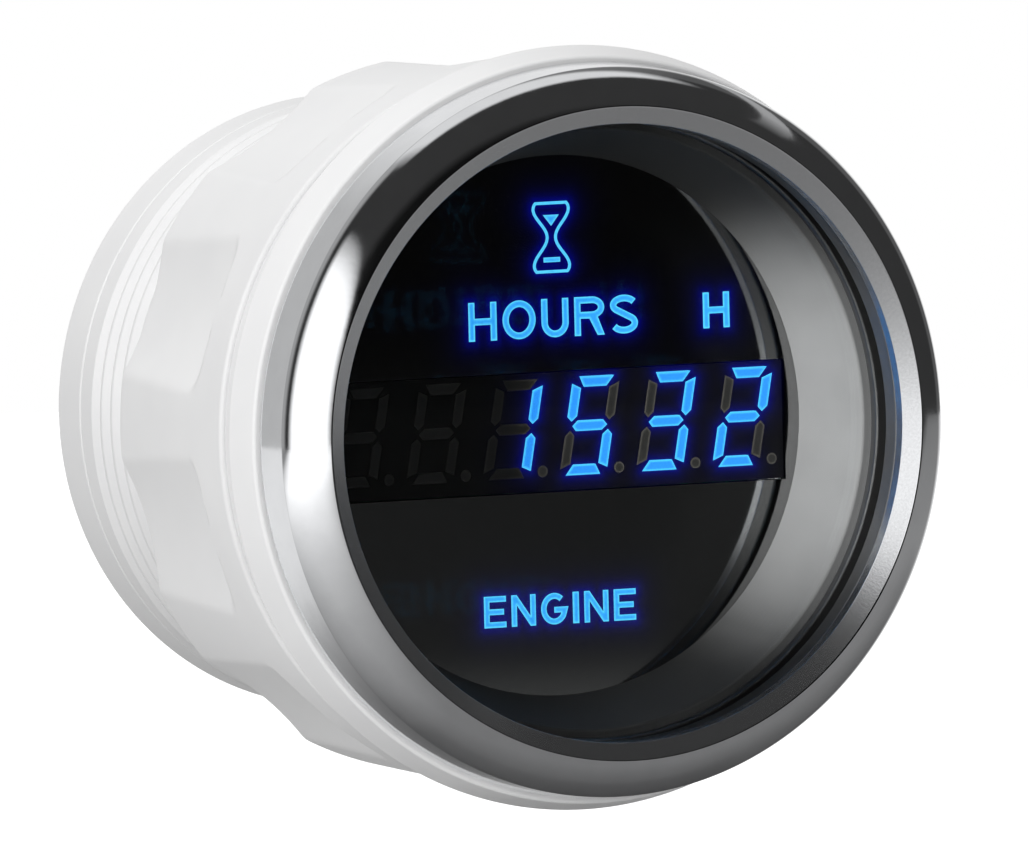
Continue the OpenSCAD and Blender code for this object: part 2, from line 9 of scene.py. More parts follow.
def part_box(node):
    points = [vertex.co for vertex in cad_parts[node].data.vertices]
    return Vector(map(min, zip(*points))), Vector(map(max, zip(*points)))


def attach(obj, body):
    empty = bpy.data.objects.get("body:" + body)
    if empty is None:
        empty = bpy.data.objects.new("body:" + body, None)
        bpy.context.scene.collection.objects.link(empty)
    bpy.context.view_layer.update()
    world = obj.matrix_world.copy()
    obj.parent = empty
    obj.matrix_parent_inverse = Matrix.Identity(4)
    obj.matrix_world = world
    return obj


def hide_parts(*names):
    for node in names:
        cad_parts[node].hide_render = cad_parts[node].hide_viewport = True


# Frame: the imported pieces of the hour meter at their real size, with the panel face at y = 0.
# The meter looks along -Y with +Z up. Sections below give radii and heights in mm, and a height
# is measured along the meter's axis, in front of the panel face when positive.
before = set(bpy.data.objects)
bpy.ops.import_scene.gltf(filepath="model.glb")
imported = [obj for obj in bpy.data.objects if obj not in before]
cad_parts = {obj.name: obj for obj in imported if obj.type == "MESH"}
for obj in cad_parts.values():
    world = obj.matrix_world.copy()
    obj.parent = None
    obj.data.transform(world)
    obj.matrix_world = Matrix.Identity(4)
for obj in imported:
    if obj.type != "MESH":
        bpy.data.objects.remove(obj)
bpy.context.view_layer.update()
MM = 0.001

# Case: one white ABS moulding with the flange, the barrel and the spigot round the lens.
# It drops through the panel hole from the front, and its thread takes the fixing nut.


def extent(node):
    """Outer radius, front height and rear height of a round piece, in mm."""
    low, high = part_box(node)
    return high.x / MM, -low.y / MM, -high.y / MM


def rounded(corners, steps=5):
    """Points and outward normals of a closed section. Its corners (r, h, radius) run anticlockwise,
    and a corner of radius 0 lies on a smooth curve or on the axis."""
    points, normals = [], []
    for k, (r, h, radius) in enumerate(corners):
        here = Vector((r, h))
        before = (here - Vector(corners[k - 1][:2])).normalized()
        after = (Vector(corners[(k + 1) % len(corners)][:2]) - here).normalized()
        first = Vector((before.y, -before.x))
        turn = math.atan2(before.x * after.y - before.y * after.x, before.dot(after))
        if radius == 0:
            points.append(here)
            if r == 0:
                normals.append(Vector((0, -before.x - after.x)))
            else:
                normals.append(Matrix.Rotation(turn / 2, 2) @ first)
            continue
        side = math.copysign(radius, turn)
        centre = here - before * abs(side * math.tan(turn / 2)) - first * side
        for step in range(steps + 1):
            normal = Matrix.Rotation(turn * step / steps, 2) @ first
            points.append(centre + normal * side)
            normals.append(normal)
    return np.array(points), np.array(normals)


def swept(name, outline_at, columns=256):
    """A closed skin round the axis. outline_at gives the section's points in mm, and their normals
    or None, at an angle from +X towards +Z."""
    angles = np.linspace(0, 2 * math.pi, columns + 1)
    sections = [outline_at(angle) for angle in angles]
    across = np.stack([np.cos(angles), np.sin(angles)], 1)[:, None, :]

    def turned(plane):
        plane = np.array(plane)
        out = plane[:, :, :1] * across
        return np.stack([out[:, :, 0], -plane[:, :, 1], out[:, :, 1]], 2).reshape(-1, 3)

    points = np.round(turned([s[0] for s in sections]), 4) + 0.0
    points, index = np.unique(points, axis=0, return_inverse=True)
    index = index.reshape(columns + 1, -1)
    following = np.roll(index, -1, axis=1)
    quads = np.stack([index[:-1], index[1:], following[1:], following[:-1]], 2).reshape(-1, 4)
    faces = [list(dict.fromkeys(quad)) for quad in quads.tolist()]
    mesh = bpy.data.meshes.new(name)
    mesh.from_pydata((points * MM).tolist(), [], [face for face in faces if len(face) > 2])
    mesh.shade_smooth()
    if sections[0][1] is None:
        mesh.set_sharp_from_angle(angle=math.radians(40))
    else:
        normals = np.zeros_like(points)
        np.add.at(normals, index.ravel(), turned([s[1] for s in sections]))
        normals /= np.linalg.norm(normals, axis=1, keepdims=True) + 1e-9
        mesh.normals_split_custom_set_from_vertices(normals.tolist())
    piece = bpy.data.objects.new(name, mesh)
    bpy.context.scene.collection.objects.link(piece)
    return piece


def linear(code):
    """An sRGB hex colour as linear RGBA."""
    parts = [int(code[i:i + 2], 16) / 255 for i in (1, 3, 5)]
    return [p / 12.92 if p <= 0.04045 else ((p + 0.055) / 1.055) ** 2.4 for p in parts] + [1.0]


def add(tree, kind, inputs, **settings):
    """Adds a node, or takes one that the tree already names, with its settings. An input is a value,
    a socket to link from, or a node that is linked from its first output."""
    node = tree.nodes[kind] if kind in tree.nodes else tree.nodes.new(kind)
    for key, value in settings.items():
        setattr(node, key, value)
    for key, value in inputs.items():
        if isinstance(value, bpy.types.Node):
            value = value.outputs[0]
        if isinstance(value, bpy.types.NodeSocket):
            tree.links.new(value, node.inputs[key])
        else:
            node.inputs[key].default_value = value
    return node


def new_material(name):
    """A material, its node tree and the place on the object in metres."""
    material = bpy.data.materials.new(name)
    material.use_nodes = True
    place = add(material.node_tree, "ShaderNodeTexCoord", {}).outputs["Object"]
    return material, material.node_tree, place


def per_mm(size):
    """Texture scale at which a pattern repeats about once in a size in mm."""
    return 1 / (size * MM)


FLANGE_R, SPIGOT_TOP, CASE_BACK = extent("case")
BARREL_R = extent("rear_cover")[0]
DIAL_FACE, DIAL_BACK = extent("dial")[1:]
DIAL_CLEARANCE = 0.15
DIAL_BORE_R = extent("dial")[0] + DIAL_CLEARANCE
FLANGE_T = 3.45
FLANGE_DRAFT = 0.8
FLANGE_FRONT_R = FLANGE_R - FLANGE_DRAFT
SPIGOT_R = 28.8
WELL_R = 27.6
GROOVE_R = 28.4
GROOVE_TOP = 4.63
BORE_R = 22.0
RIM_BACK = 1.83
CONE_SEAT_R = 24.95
THREAD_START = -4.5
THREAD_END = -39.5
THREAD_PITCH = 2.0
THREAD_DEPTH = 0.7
THREAD_FADE = 0.9
# Share of the depth at places along one pitch: crest, front flank, root, rear flank
THREAD_SHAPE = [(0.0, 0.0), (0.04, 0.07), (0.35, 0.92), (0.4, 1.0), (0.46, 1.0), (0.5, 0.92),
                (0.81, 0.07), (0.86, 0.0)]
thread_turns = math.ceil((THREAD_START - THREAD_END) / THREAD_PITCH) + 1
case_body = rounded([
    (BARREL_R, 0, 0.05), (FLANGE_R, 0, 0.3), (FLANGE_FRONT_R, FLANGE_T, 0.35), (GROOVE_R, FLANGE_T, 0.05),
    (GROOVE_R, GROOVE_TOP, 0.05), (SPIGOT_R, GROOVE_TOP, 0.05), (SPIGOT_R, SPIGOT_TOP, 0.15),
    (WELL_R, SPIGOT_TOP, 0.15), (WELL_R, RIM_BACK, 0.05), (CONE_SEAT_R, RIM_BACK, 0.1),
    (DIAL_BORE_R, DIAL_FACE, 0.05), (DIAL_BORE_R, DIAL_BACK, 0.05), (BORE_R, DIAL_BACK, 0.1),
    (BORE_R, CASE_BACK, 0.2), (BARREL_R, CASE_BACK, 0.25),
])


def case_outline(angle):
    """Section of the case, whose thread climbs one pitch in a turn and fades out at its ends."""
    rows = np.array([(turn - 1 + angle / (2 * math.pi) + along, depth)
                     for turn in range(thread_turns) for along, depth in THREAD_SHAPE])
    h = np.clip(THREAD_START - rows[:, 0] * THREAD_PITCH, THREAD_END, THREAD_START)
    fade = np.clip(np.minimum(THREAD_START - h, h - THREAD_END) / THREAD_FADE, 0, 1)
    thread = np.stack([BARREL_R - THREAD_DEPTH * rows[:, 1] * fade, h], 1)[::-1]
    run = np.gradient(thread, axis=0)
    facing = np.stack([run[:, 1], -run[:, 0]], 1)
    facing[run[:, 1] < 1e-6] = (1, 0)
    facing /= np.linalg.norm(facing, axis=1, keepdims=True)
    return np.concatenate([case_body[0], thread]), np.concatenate([case_body[1], facing])


# Moulded white ABS: a clean satin skin with the faint cloud and fine grain of a polished mould.
# The grain is drawn at 0.3 mm, coarser than a real mould's, so that it shows at all.
white_abs, tree, place = new_material("moulded_white_abs")
cloud = add(tree, "ShaderNodeTexNoise", {"Vector": place, "Scale": per_mm(9), "Detail": 2.0})
grain = add(tree, "ShaderNodeTexNoise", {"Vector": place, "Scale": per_mm(0.3), "Detail": 1.0})
shade = add(tree, "ShaderNodeMixRGB", {
    "Fac": cloud, "Color1": linear("#E8E8E9"), "Color2": linear("#F2F2F2")})
gloss = add(tree, "ShaderNodeMapRange", {"Value": cloud, "To Min": 0.3, "To Max": 0.42})
relief = add(tree, "ShaderNodeBump", {"Height": grain, "Strength": 0.06, "Distance": 0.02 * MM})
add(tree, "Principled BSDF", {
    "Base Color": shade, "Roughness": gloss, "IOR": 1.53,
    "Normal": relief})

case_skin = swept("threaded_case", case_outline)
case_skin.data.materials.append(white_abs)
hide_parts("case")
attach(case_skin, "meter")

# Rear cover: a white ABS cap whose spigot closes the barrel behind a thin seam.
# Three screws hold it, and the terminals come out through the floor of its recess.
COVER_INNER, COVER_BACK = extent("rear_cover")[1:]
RECESS_DEPTH = 2.5
COVER_RIM = 3.1
SPIGOT_CLEARANCE = 0.2
RECESS_FLOOR = COVER_BACK + RECESS_DEPTH
RECESS_R = BARREL_R - COVER_RIM
COVER_SPIGOT_R = BORE_R - SPIGOT_CLEARANCE
cover_body = rounded([
    (0, RECESS_FLOOR, 0), (RECESS_R, RECESS_FLOOR, 0.3), (RECESS_R, COVER_BACK, 0.3),
    (BARREL_R, COVER_BACK, 0.8), (BARREL_R, CASE_BACK, 0.25), (COVER_SPIGOT_R, CASE_BACK, 0.05),
    (COVER_SPIGOT_R, COVER_INNER, 0.2), (0, COVER_INNER, 0),
])
cover_skin = swept("rear_cap", lambda angle: cover_body)
cover_skin.data.materials.append(white_abs)
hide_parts("rear_cover")
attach(cover_skin, "meter")

# Screws: small round-headed screws of turned steel, zinc plated against rust.
# Three hold the rear cover, and the others hold the main board on its spacers.


def coat(material, *nodes):
    """Gives CAD pieces a material."""
    for node in nodes:
        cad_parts[node].data.materials[0] = material


# Zinc plate on turned steel: pale grey, softly cloudy, with fine turning marks.
zinc_plate, tree, place = new_material("zinc_plated_steel")
cloud = add(tree, "ShaderNodeTexNoise", {"Vector": place, "Scale": per_mm(0.8), "Detail": 3.0})
shade = add(tree, "ShaderNodeMixRGB", {
    "Fac": cloud, "Color1": linear("#A9ABAE"), "Color2": linear("#C8CACD")})
gloss = add(tree, "ShaderNodeMapRange", {"Value": cloud, "To Min": 0.25, "To Max": 0.45})
add(tree, "Principled BSDF", {
    "Base Color": shade, "Metallic": 1.0, "Roughness": gloss})
coat(zinc_plate, "cover_screws", "board_screws")

# Terminals: three blades stamped from tinned brass strip, with legs soldered into the main board.
# Tin over brass: silvery with a warm tinge and faint rolling lines along the strip.
tinned_brass, tree, place = new_material("tinned_brass_strip")
stretch = add(tree, "ShaderNodeMapping", {"Vector": place, "Scale": (1, 0.05, 1)})
lines = add(tree, "ShaderNodeTexNoise", {
    "Vector": stretch, "Scale": per_mm(0.15), "Detail": 2.0})
shade = add(tree, "ShaderNodeMixRGB", {
    "Fac": lines, "Color1": linear("#B9B4A6"), "Color2": linear("#D6D3CA")})
gloss = add(tree, "ShaderNodeMapRange", {"Value": lines, "To Min": 0.2, "To Max": 0.4})
add(tree, "Principled BSDF", {
    "Base Color": shade, "Metallic": 1.0, "Roughness": gloss})
coat(tinned_brass, "positive_terminal", "negative_terminal", "signal_terminal")

# Washer: a flat white ring moulded from the same ABS as the nut.
# It lies loose on the barrel, and the nut presses it against the back of the panel.
WASHER_R, WASHER_FRONT, WASHER_BACK = extent("nut_washer")
NUT_CLEARANCE = 0.3
NUT_BORE_R = BARREL_R + NUT_CLEARANCE
washer_body = rounded([
    (NUT_BORE_R, WASHER_BACK, 0.15), (WASHER_R, WASHER_BACK, 0.3), (WASHER_R, WASHER_FRONT, 0.3),
    (NUT_BORE_R, WASHER_FRONT, 0.15),
])
washer_skin = swept("clamp_washer", lambda angle: washer_body)
washer_skin.data.materials.append(white_abs)
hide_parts("nut_washer")
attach(washer_skin, "washer")

# Fixing nut: a long white ABS nut, a little wider at the panel, with ten finger lobes.
# The hollows between the lobes run out at the rear and end in a round cove before the front collar.
NUT_FRONT_R, NUT_FRONT, NUT_BACK = extent("fixing_nut")
NUT_DRAFT = 0.7
NUT_EDGE = 0.35
NUT_FLAT = 0.05
NUT_ROWS = 72
LOBES = 10
LOBE_AT = -2.2
HOLLOW_DEPTH = 1.2
HOLLOW_SPAN = 22.0
HOLLOW_COVE = 2.5
COLLAR = 4.6
RIDGE_BLEND = 0.2
nut_rear_r = NUT_FRONT_R - NUT_DRAFT
hollow_rise = nut_rear_r * (math.cos(math.radians(HOLLOW_SPAN / 2)) - 1) + HOLLOW_DEPTH
hollow_half = nut_rear_r * math.sin(math.radians(HOLLOW_SPAN / 2))
hollow_r = (hollow_rise ** 2 + hollow_half ** 2) / (2 * hollow_rise)
hollow_at = nut_rear_r - HOLLOW_DEPTH + hollow_r


def nut_radius(angle, h):
    """Radius of the nut's skin: the tapered blank, blended into the round hollow nearest to the angle."""
    blank = nut_rear_r + NUT_DRAFT * (h - NUT_BACK) / (NUT_FRONT - NUT_BACK)
    step = 2 * math.pi / LOBES
    off = (angle - math.radians(LOBE_AT)) % step - step / 2
    into = np.clip((h - (NUT_FRONT - COLLAR - HOLLOW_COVE)) / HOLLOW_COVE, 0, 1)
    cutter = hollow_r - HOLLOW_COVE * (1 - np.sqrt(1 - into ** 2))
    inside = np.maximum(cutter ** 2 - (hollow_at * math.sin(off)) ** 2, 0)
    wall = np.where(inside > 0, hollow_at * math.cos(off) - np.sqrt(inside), blank + 2 * RIDGE_BLEND)
    mix = np.clip(0.5 + 0.5 * (wall - blank) / RIDGE_BLEND, 0, 1)
    return wall * (1 - mix) + blank * mix - RIDGE_BLEND * mix * (1 - mix)


nut_rows = np.linspace(NUT_BACK + 2 * NUT_EDGE, NUT_FRONT - 2 * NUT_EDGE, NUT_ROWS)
nut_round = np.radians(np.linspace(90, 0, 6))


def nut_outline(angle):
    """Section of the nut at an angle, from the bore out over the rear edge to the front."""
    rear = nut_radius(angle, np.array([NUT_BACK]))[0] - NUT_EDGE
    front = NUT_FRONT_R - NUT_EDGE
    points = [(NUT_BORE_R, NUT_BACK + NUT_EDGE), (NUT_BORE_R + NUT_EDGE, NUT_BACK),
              (NUT_BORE_R + NUT_EDGE + NUT_FLAT, NUT_BACK), (rear - NUT_FLAT, NUT_BACK)]
    points += [(rear + NUT_EDGE * math.cos(a), NUT_BACK + NUT_EDGE * (1 - math.sin(a))) for a in nut_round]
    points += list(zip(nut_radius(angle, nut_rows), nut_rows))
    points += [(front + NUT_EDGE * math.cos(a), NUT_FRONT - NUT_EDGE * (1 - math.sin(a)))
               for a in nut_round[::-1]]
    points += [(front - NUT_FLAT, NUT_FRONT), (NUT_BORE_R + NUT_FLAT, NUT_FRONT), (NUT_BORE_R, NUT_FRONT)]
    return np.array(points), None


nut_skin = swept("lobed_nut", nut_outline, columns=480)
nut_skin.data.materials.append(white_abs)
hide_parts("fixing_nut")
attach(nut_skin, "nut")

# Circuit boards: two round boards of glass epoxy under green solder mask, held apart by spacers.
# Solder mask: glossy green, lighter over the copper tracks, which run on a half-millimetre grid.
solder_mask, tree, place = new_material("solder_mask_on_epoxy")
upright = add(tree, "ShaderNodeMapping", {"Vector": place, "Rotation": (math.pi / 2, 0, 0)})
tracks = add(tree, "ShaderNodeTexBrick", {
    "Vector": upright, "Scale": per_mm(4), "Mortar Size": 0.06,
    "Color1": linear("#0B4A2A"), "Color2": linear("#0D5230"), "Mortar": linear("#1B7A48")})
gloss = add(tree, "ShaderNodeMapRange", {"Value": tracks.outputs["Fac"], "To Min": 0.3, "To Max": 0.2})
relief = add(tree, "ShaderNodeBump", {
    "Height": tracks.outputs["Fac"], "Strength": 0.2, "Distance": 0.03 * MM})
add(tree, "Principled BSDF", {
    "Base Color": tracks, "Roughness": gloss,
    "Normal": relief})
coat(solder_mask, "display_board", "main_board")

# Spacers: hexagonal brass pillars between the boards, with a pin that is riveted into the front board.
# Turned brass: yellow metal with fine turning rings along its length.
turned_brass, tree, place = new_material("turned_brass")
rings = add(tree, "ShaderNodeTexWave", {
    "Vector": place, "Scale": per_mm(1.2), "Distortion": 2.0}, bands_direction="Y")
shade = add(tree, "ShaderNodeMixRGB", {
    "Fac": rings.outputs["Fac"], "Color1": linear("#B8913F"), "Color2": linear("#D2AE5C")})
gloss = add(tree, "ShaderNodeMapRange", {"Value": rings.outputs["Fac"], "To Min": 0.22, "To Max": 0.36})
add(tree, "Principled BSDF", {
    "Base Color": shade, "Metallic": 1.0, "Roughness": gloss})
coat(turned_brass, "board_spacers")

# Header: a moulded nylon block on the main board with a row of gilt pins up to the display board.
# Nylon is matt black, and the pins beyond the block's height are gold flash over nickel.
HEADER_BLOCK = 2.5
nylon_header, tree, place = new_material("black_nylon_and_gilt_pins")
main_front = extent("main_board")[1]
height = add(tree, "ShaderNodeSeparateXYZ", {"Vector": place}).outputs["Y"]
pins = add(tree, "ShaderNodeMath", {0: height, 1: -(main_front + HEADER_BLOCK) * MM}, operation="LESS_THAN")
speck = add(tree, "ShaderNodeTexNoise", {"Vector": place, "Scale": per_mm(0.4)})
nylon = add(tree, "ShaderNodeMixRGB", {
    "Fac": speck, "Color1": linear("#141415"), "Color2": linear("#202122")})
shade = add(tree, "ShaderNodeMixRGB", {
    "Fac": pins, "Color1": nylon, "Color2": linear("#D9B45A")})
gloss = add(tree, "ShaderNodeMapRange", {"Value": pins, "To Min": 0.55, "To Max": 0.25})
add(tree, "Principled BSDF", {
    "Base Color": shade, "Metallic": pins, "Roughness": gloss})
coat(nylon_header, "board_header")

# Chips and small parts: packages moulded from filled epoxy and soldered to the main board.
# The filler leaves the mould's skin matt black and slightly speckled.
chip_epoxy, tree, place = new_material("moulded_chip_epoxy")
speck = add(tree, "ShaderNodeTexNoise", {"Vector": place, "Scale": per_mm(0.12), "Detail": 2.0})
shade = add(tree, "ShaderNodeMixRGB", {
    "Fac": speck, "Color1": linear("#17181A"), "Color2": linear("#2A2B2E")})
relief = add(tree, "ShaderNodeBump", {"Height": speck, "Strength": 0.3, "Distance": 0.01 * MM})
add(tree, "Principled BSDF", {
    "Base Color": shade, "Roughness": 0.62, "Normal": relief})
coat(chip_epoxy, "microcontroller", "memory_chip", "voltage_regulator", "protection_diode", "chip_resistors")

# Crystal and capacitor: cans deep drawn from thin metal and soldered to the main board.
# Drawing leaves them satin bright, with faint lines along the draw.
drawn_can, tree, place = new_material("drawn_aluminium_can")
stretch = add(tree, "ShaderNodeMapping", {"Vector": place, "Scale": (1, 0.08, 1)})
lines = add(tree, "ShaderNodeTexNoise", {
    "Vector": stretch, "Scale": per_mm(0.25), "Detail": 2.0})
shade = add(tree, "ShaderNodeMixRGB", {
    "Fac": lines, "Color1": linear("#A4A7AB"), "Color2": linear("#C6C9CC")})
gloss = add(tree, "ShaderNodeMapRange", {"Value": lines, "To Min": 0.25, "To Max": 0.42})
add(tree, "Principled BSDF", {
    "Base Color": shade, "Metallic": 1.0, "Roughness": gloss})
coat(drawn_can, "crystal", "filter_capacitor")

# Light guides and LEDs: clear acrylic blocks behind the dial over white LEDs on the display board.
# Acrylic is clear with a faint frost on its moulded faces.
clear_acrylic, tree, place = new_material("moulded_clear_acrylic")
frost = add(tree, "ShaderNodeTexNoise", {"Vector": place, "Scale": per_mm(0.6), "Detail": 2.0})
gloss = add(tree, "ShaderNodeMapRange", {"Value": frost, "To Min": 0.05, "To Max": 0.25})
add(tree, "Principled BSDF", {
    "Base Color": linear("#EAF2F7"), "Roughness": gloss, "IOR": 1.49,
    "Transmission Weight": 1.0})
coat(clear_acrylic, "upper_light_guide", "lower_light_guide")
# LED resin is milky yellow where the phosphor lies and paler at the edges.
led_resin, tree, place = new_material("cast_led_resin")
milk = add(tree, "ShaderNodeTexNoise", {"Vector": place, "Scale": per_mm(1.5)})
shade = add(tree, "ShaderNodeMixRGB", {
    "Fac": milk, "Color1": linear("#E8E2B8"), "Color2": linear("#F4F1E2")})
add(tree, "Principled BSDF", {"Base Color": shade, "Roughness": 0.4, "IOR": 1.53})
coat(led_resin, "backlight_leds")

# Display: a black moulded body with a shallow well for each segment, filled with tinted epoxy.
# Lit bars throw a blue haze on the face round them, which fades within about two millimetres.


def face_outline(mesh):
    """Edges round the front faces of a flat piece, as pairs of (x, z) points in mm."""
    front = min(v.co.y for v in mesh.vertices) + 0.01 * MM
    seen = {}
    for polygon in mesh.polygons:
        ring = [mesh.vertices[v].co for v in polygon.vertices]
        if max(p.y for p in ring) > front:
            continue
        flat = [(round(p.x / MM, 4), round(p.z / MM, 4)) for p in ring]
        for a, b in zip(flat, flat[1:] + flat[:1]):
            key = (min(a, b), max(a, b))
            seen[key] = seen.get(key, 0) + 1
    return np.array([key for key, count in seen.items() if count == 1])


def nearest(points, edges):
    """Distance in mm from each (x, z) point to the nearest of some edges."""
    start, run = edges[None, :, 0], (edges[:, 1] - edges[:, 0])[None]
    away = points[:, None] - start
    along = np.clip((away * run).sum(2) / (run ** 2).sum(2), 0, 1)
    return np.linalg.norm(away - run * along[:, :, None], axis=2).min(1)


def gridded(name, mesh, step):
    """A copy of a flat piece, cut into cells of a size in mm so that light can be painted on its face."""
    shape = bmesh.new()
    shape.from_mesh(mesh)
    bmesh.ops.remove_doubles(shape, verts=shape.verts, dist=0.001 * MM)
    for axis in (Vector((1, 0, 0)), Vector((0, 0, 1))):
        reach = [v.co.dot(axis) / MM for v in shape.verts]
        for cut in np.arange(min(reach) + step / 2, max(reach), step):
            bmesh.ops.bisect_plane(
                shape, geom=shape.verts[:] + shape.edges[:] + shape.faces[:], dist=1e-4 * MM,
                plane_co=axis * cut * MM, plane_no=axis)
    copy = bpy.data.meshes.new(name)
    shape.to_mesh(copy)
    shape.free()
    for layer in [a.name for a in copy.attributes if a.name == "custom_normal"]:
        copy.attributes.remove(copy.attributes[layer])
    copy.shade_flat()
    copy.materials.clear()
    piece = bpy.data.objects.new(name, copy)
    bpy.context.scene.collection.objects.link(piece)
    return piece


def paint(piece, layer, edges, brightness):
    """Stores on each corner of a piece a brightness worked out from its distance to some edges, in mm."""
    points = np.array([(v.co.x / MM, v.co.z / MM) for v in piece.data.vertices])
    values = brightness(nearest(points, edges)).astype(np.float32)
    piece.data.attributes.new(layer, "FLOAT", "POINT").data.foreach_set("value", values)


HAZE_NEAR = 0.3
HAZE_FAR = 0.9
HAZE_NEAR_LEVEL = 0.6
HAZE_FAR_LEVEL = 0.12
HAZE_BLUE = "#00068C"


def haze(distance):
    """Brightness of the haze at a distance in mm from a lit edge."""
    return HAZE_NEAR_LEVEL * np.exp(-distance / HAZE_NEAR) + HAZE_FAR_LEVEL * np.exp(-distance / HAZE_FAR)


RIM_LIGHT = 0.11
RIM_LEVEL = 1.6
DISPLAY_CELL = 0.35


def rim(distance):
    """Brightness of the bright line along the edge of a lit shape."""
    return np.clip(RIM_LEVEL - distance / RIM_LIGHT, 0, 1)


lit_edges = face_outline(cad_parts["lit_segments"].data)
display_face = gridded("display_block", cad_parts["display_body"].data, DISPLAY_CELL)
paint(display_face, "haze", lit_edges, haze)
# Moulded black polycarbonate: a dull black face with fine grain that drinks light.
display_black, tree, place = new_material("moulded_black_polycarbonate")
speck = add(tree, "ShaderNodeTexNoise", {"Vector": place, "Scale": per_mm(0.2), "Detail": 2.0})
shade = add(tree, "ShaderNodeMixRGB", {
    "Fac": speck, "Color1": linear("#010101"), "Color2": linear("#030303")})
glow = add(tree, "ShaderNodeAttribute", {}, attribute_name="haze")
add(tree, "Principled BSDF", {
    "Base Color": shade, "Roughness": 0.5, "IOR": 1.3,
    "Emission Color": linear(HAZE_BLUE), "Emission Strength": glow.outputs["Fac"]})
display_face.data.materials.append(display_black)
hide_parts("display_body")
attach(display_face, "meter")

# Lit segments: tinted epoxy poured into the wells over blue LEDs, level with the face.
# It glows a little brighter along the walls of its well and is finely speckled.
BAR_CELL = 0.12
UNLIT_BLUE = "#0A2A4A"
lit_bars = gridded("lit_bars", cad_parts["lit_segments"].data, BAR_CELL)
paint(lit_bars, "rim", lit_edges, rim)
lit_blue, tree, place = new_material("blue_lit_epoxy")
edge = add(tree, "ShaderNodeAttribute", {}, attribute_name="rim")
speck = add(tree, "ShaderNodeTexNoise", {"Vector": place, "Scale": per_mm(0.16), "Detail": 1.0})
light = add(tree, "ShaderNodeMixRGB", {
    "Fac": edge.outputs["Fac"], "Color1": linear("#2486E6"), "Color2": linear("#4CC4FA")})
level = add(tree, "ShaderNodeMapRange", {"Value": speck, "To Min": 0.85, "To Max": 1.3})
add(tree, "Principled BSDF", {
    "Base Color": linear(UNLIT_BLUE), "Roughness": 0.35, "Emission Color": light,
    "Emission Strength": level})
lit_bars.data.materials.append(lit_blue)
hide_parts("lit_segments")
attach(lit_bars, "meter")

# Dark segments and points: the same epoxy poured over LEDs that are off.
# It is smoky grey, with a faint paler line where it meets the wall of each well.
epoxy_dark, tree, place = new_material("smoked_epoxy")
edge = add(tree, "ShaderNodeAttribute", {}, attribute_name="rim")
speck = add(tree, "ShaderNodeTexNoise", {"Vector": place, "Scale": per_mm(0.3), "Detail": 2.0})
fill = add(tree, "ShaderNodeMixRGB", {
    "Fac": speck, "Color1": linear("#0D0D0D"), "Color2": linear("#131312")})
shade = add(tree, "ShaderNodeMixRGB", {
    "Fac": edge.outputs["Fac"], "Color1": fill, "Color2": linear("#242321")})
add(tree, "Principled BSDF", {"Base Color": shade, "Roughness": 0.45, "IOR": 1.45})
for name, node in (("dark_bars", "dark_segments"), ("dark_points", "decimal_points")):
    bars = gridded(name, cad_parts[node].data, BAR_CELL)
    paint(bars, "rim", face_outline(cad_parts[node].data), rim)
    bars.data.materials.append(epoxy_dark)
    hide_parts(node)
    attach(bars, "meter")

# Legends: clear windows in the dial's black print, lit from behind through a blue film.
# A plain bold sans is drawn as strokes of one weight, and an hourglass marks the running time.
STEM = 0.55
LEGEND_T = 0.03
LEGEND_CELL = 0.14
MITRE_LIMIT = 0.4


def stroke(path, width, closed=False):
    """Loops round a line of (x, y) points drawn with a pen of one width and square ends."""
    path = [Vector(p) for p in path]
    left, right = [], []
    for k, here in enumerate(path):
        before = here - path[k - 1] if closed or k else path[1] - path[0]
        after = path[(k + 1) % len(path)] - here if closed or k + 1 < len(path) else before
        before, after = before.normalized(), after.normalized()
        mitre = (Vector((-before.y, before.x)) + Vector((-after.y, after.x))).normalized()
        reach = width / 2 / max(mitre.dot(Vector((-before.y, before.x))), MITRE_LIMIT)
        left.append(here + mitre * reach)
        right.append(here - mitre * reach)
    return [left, right] if closed else [left + right[::-1]]


def arc(centre, radii, start, end, steps=20):
    """Points on an ellipse between two angles in degrees."""
    turns = np.radians(np.linspace(start, end, steps))
    return [(centre[0] + radii[0] * math.cos(t), centre[1] + radii[1] * math.sin(t)) for t in turns]


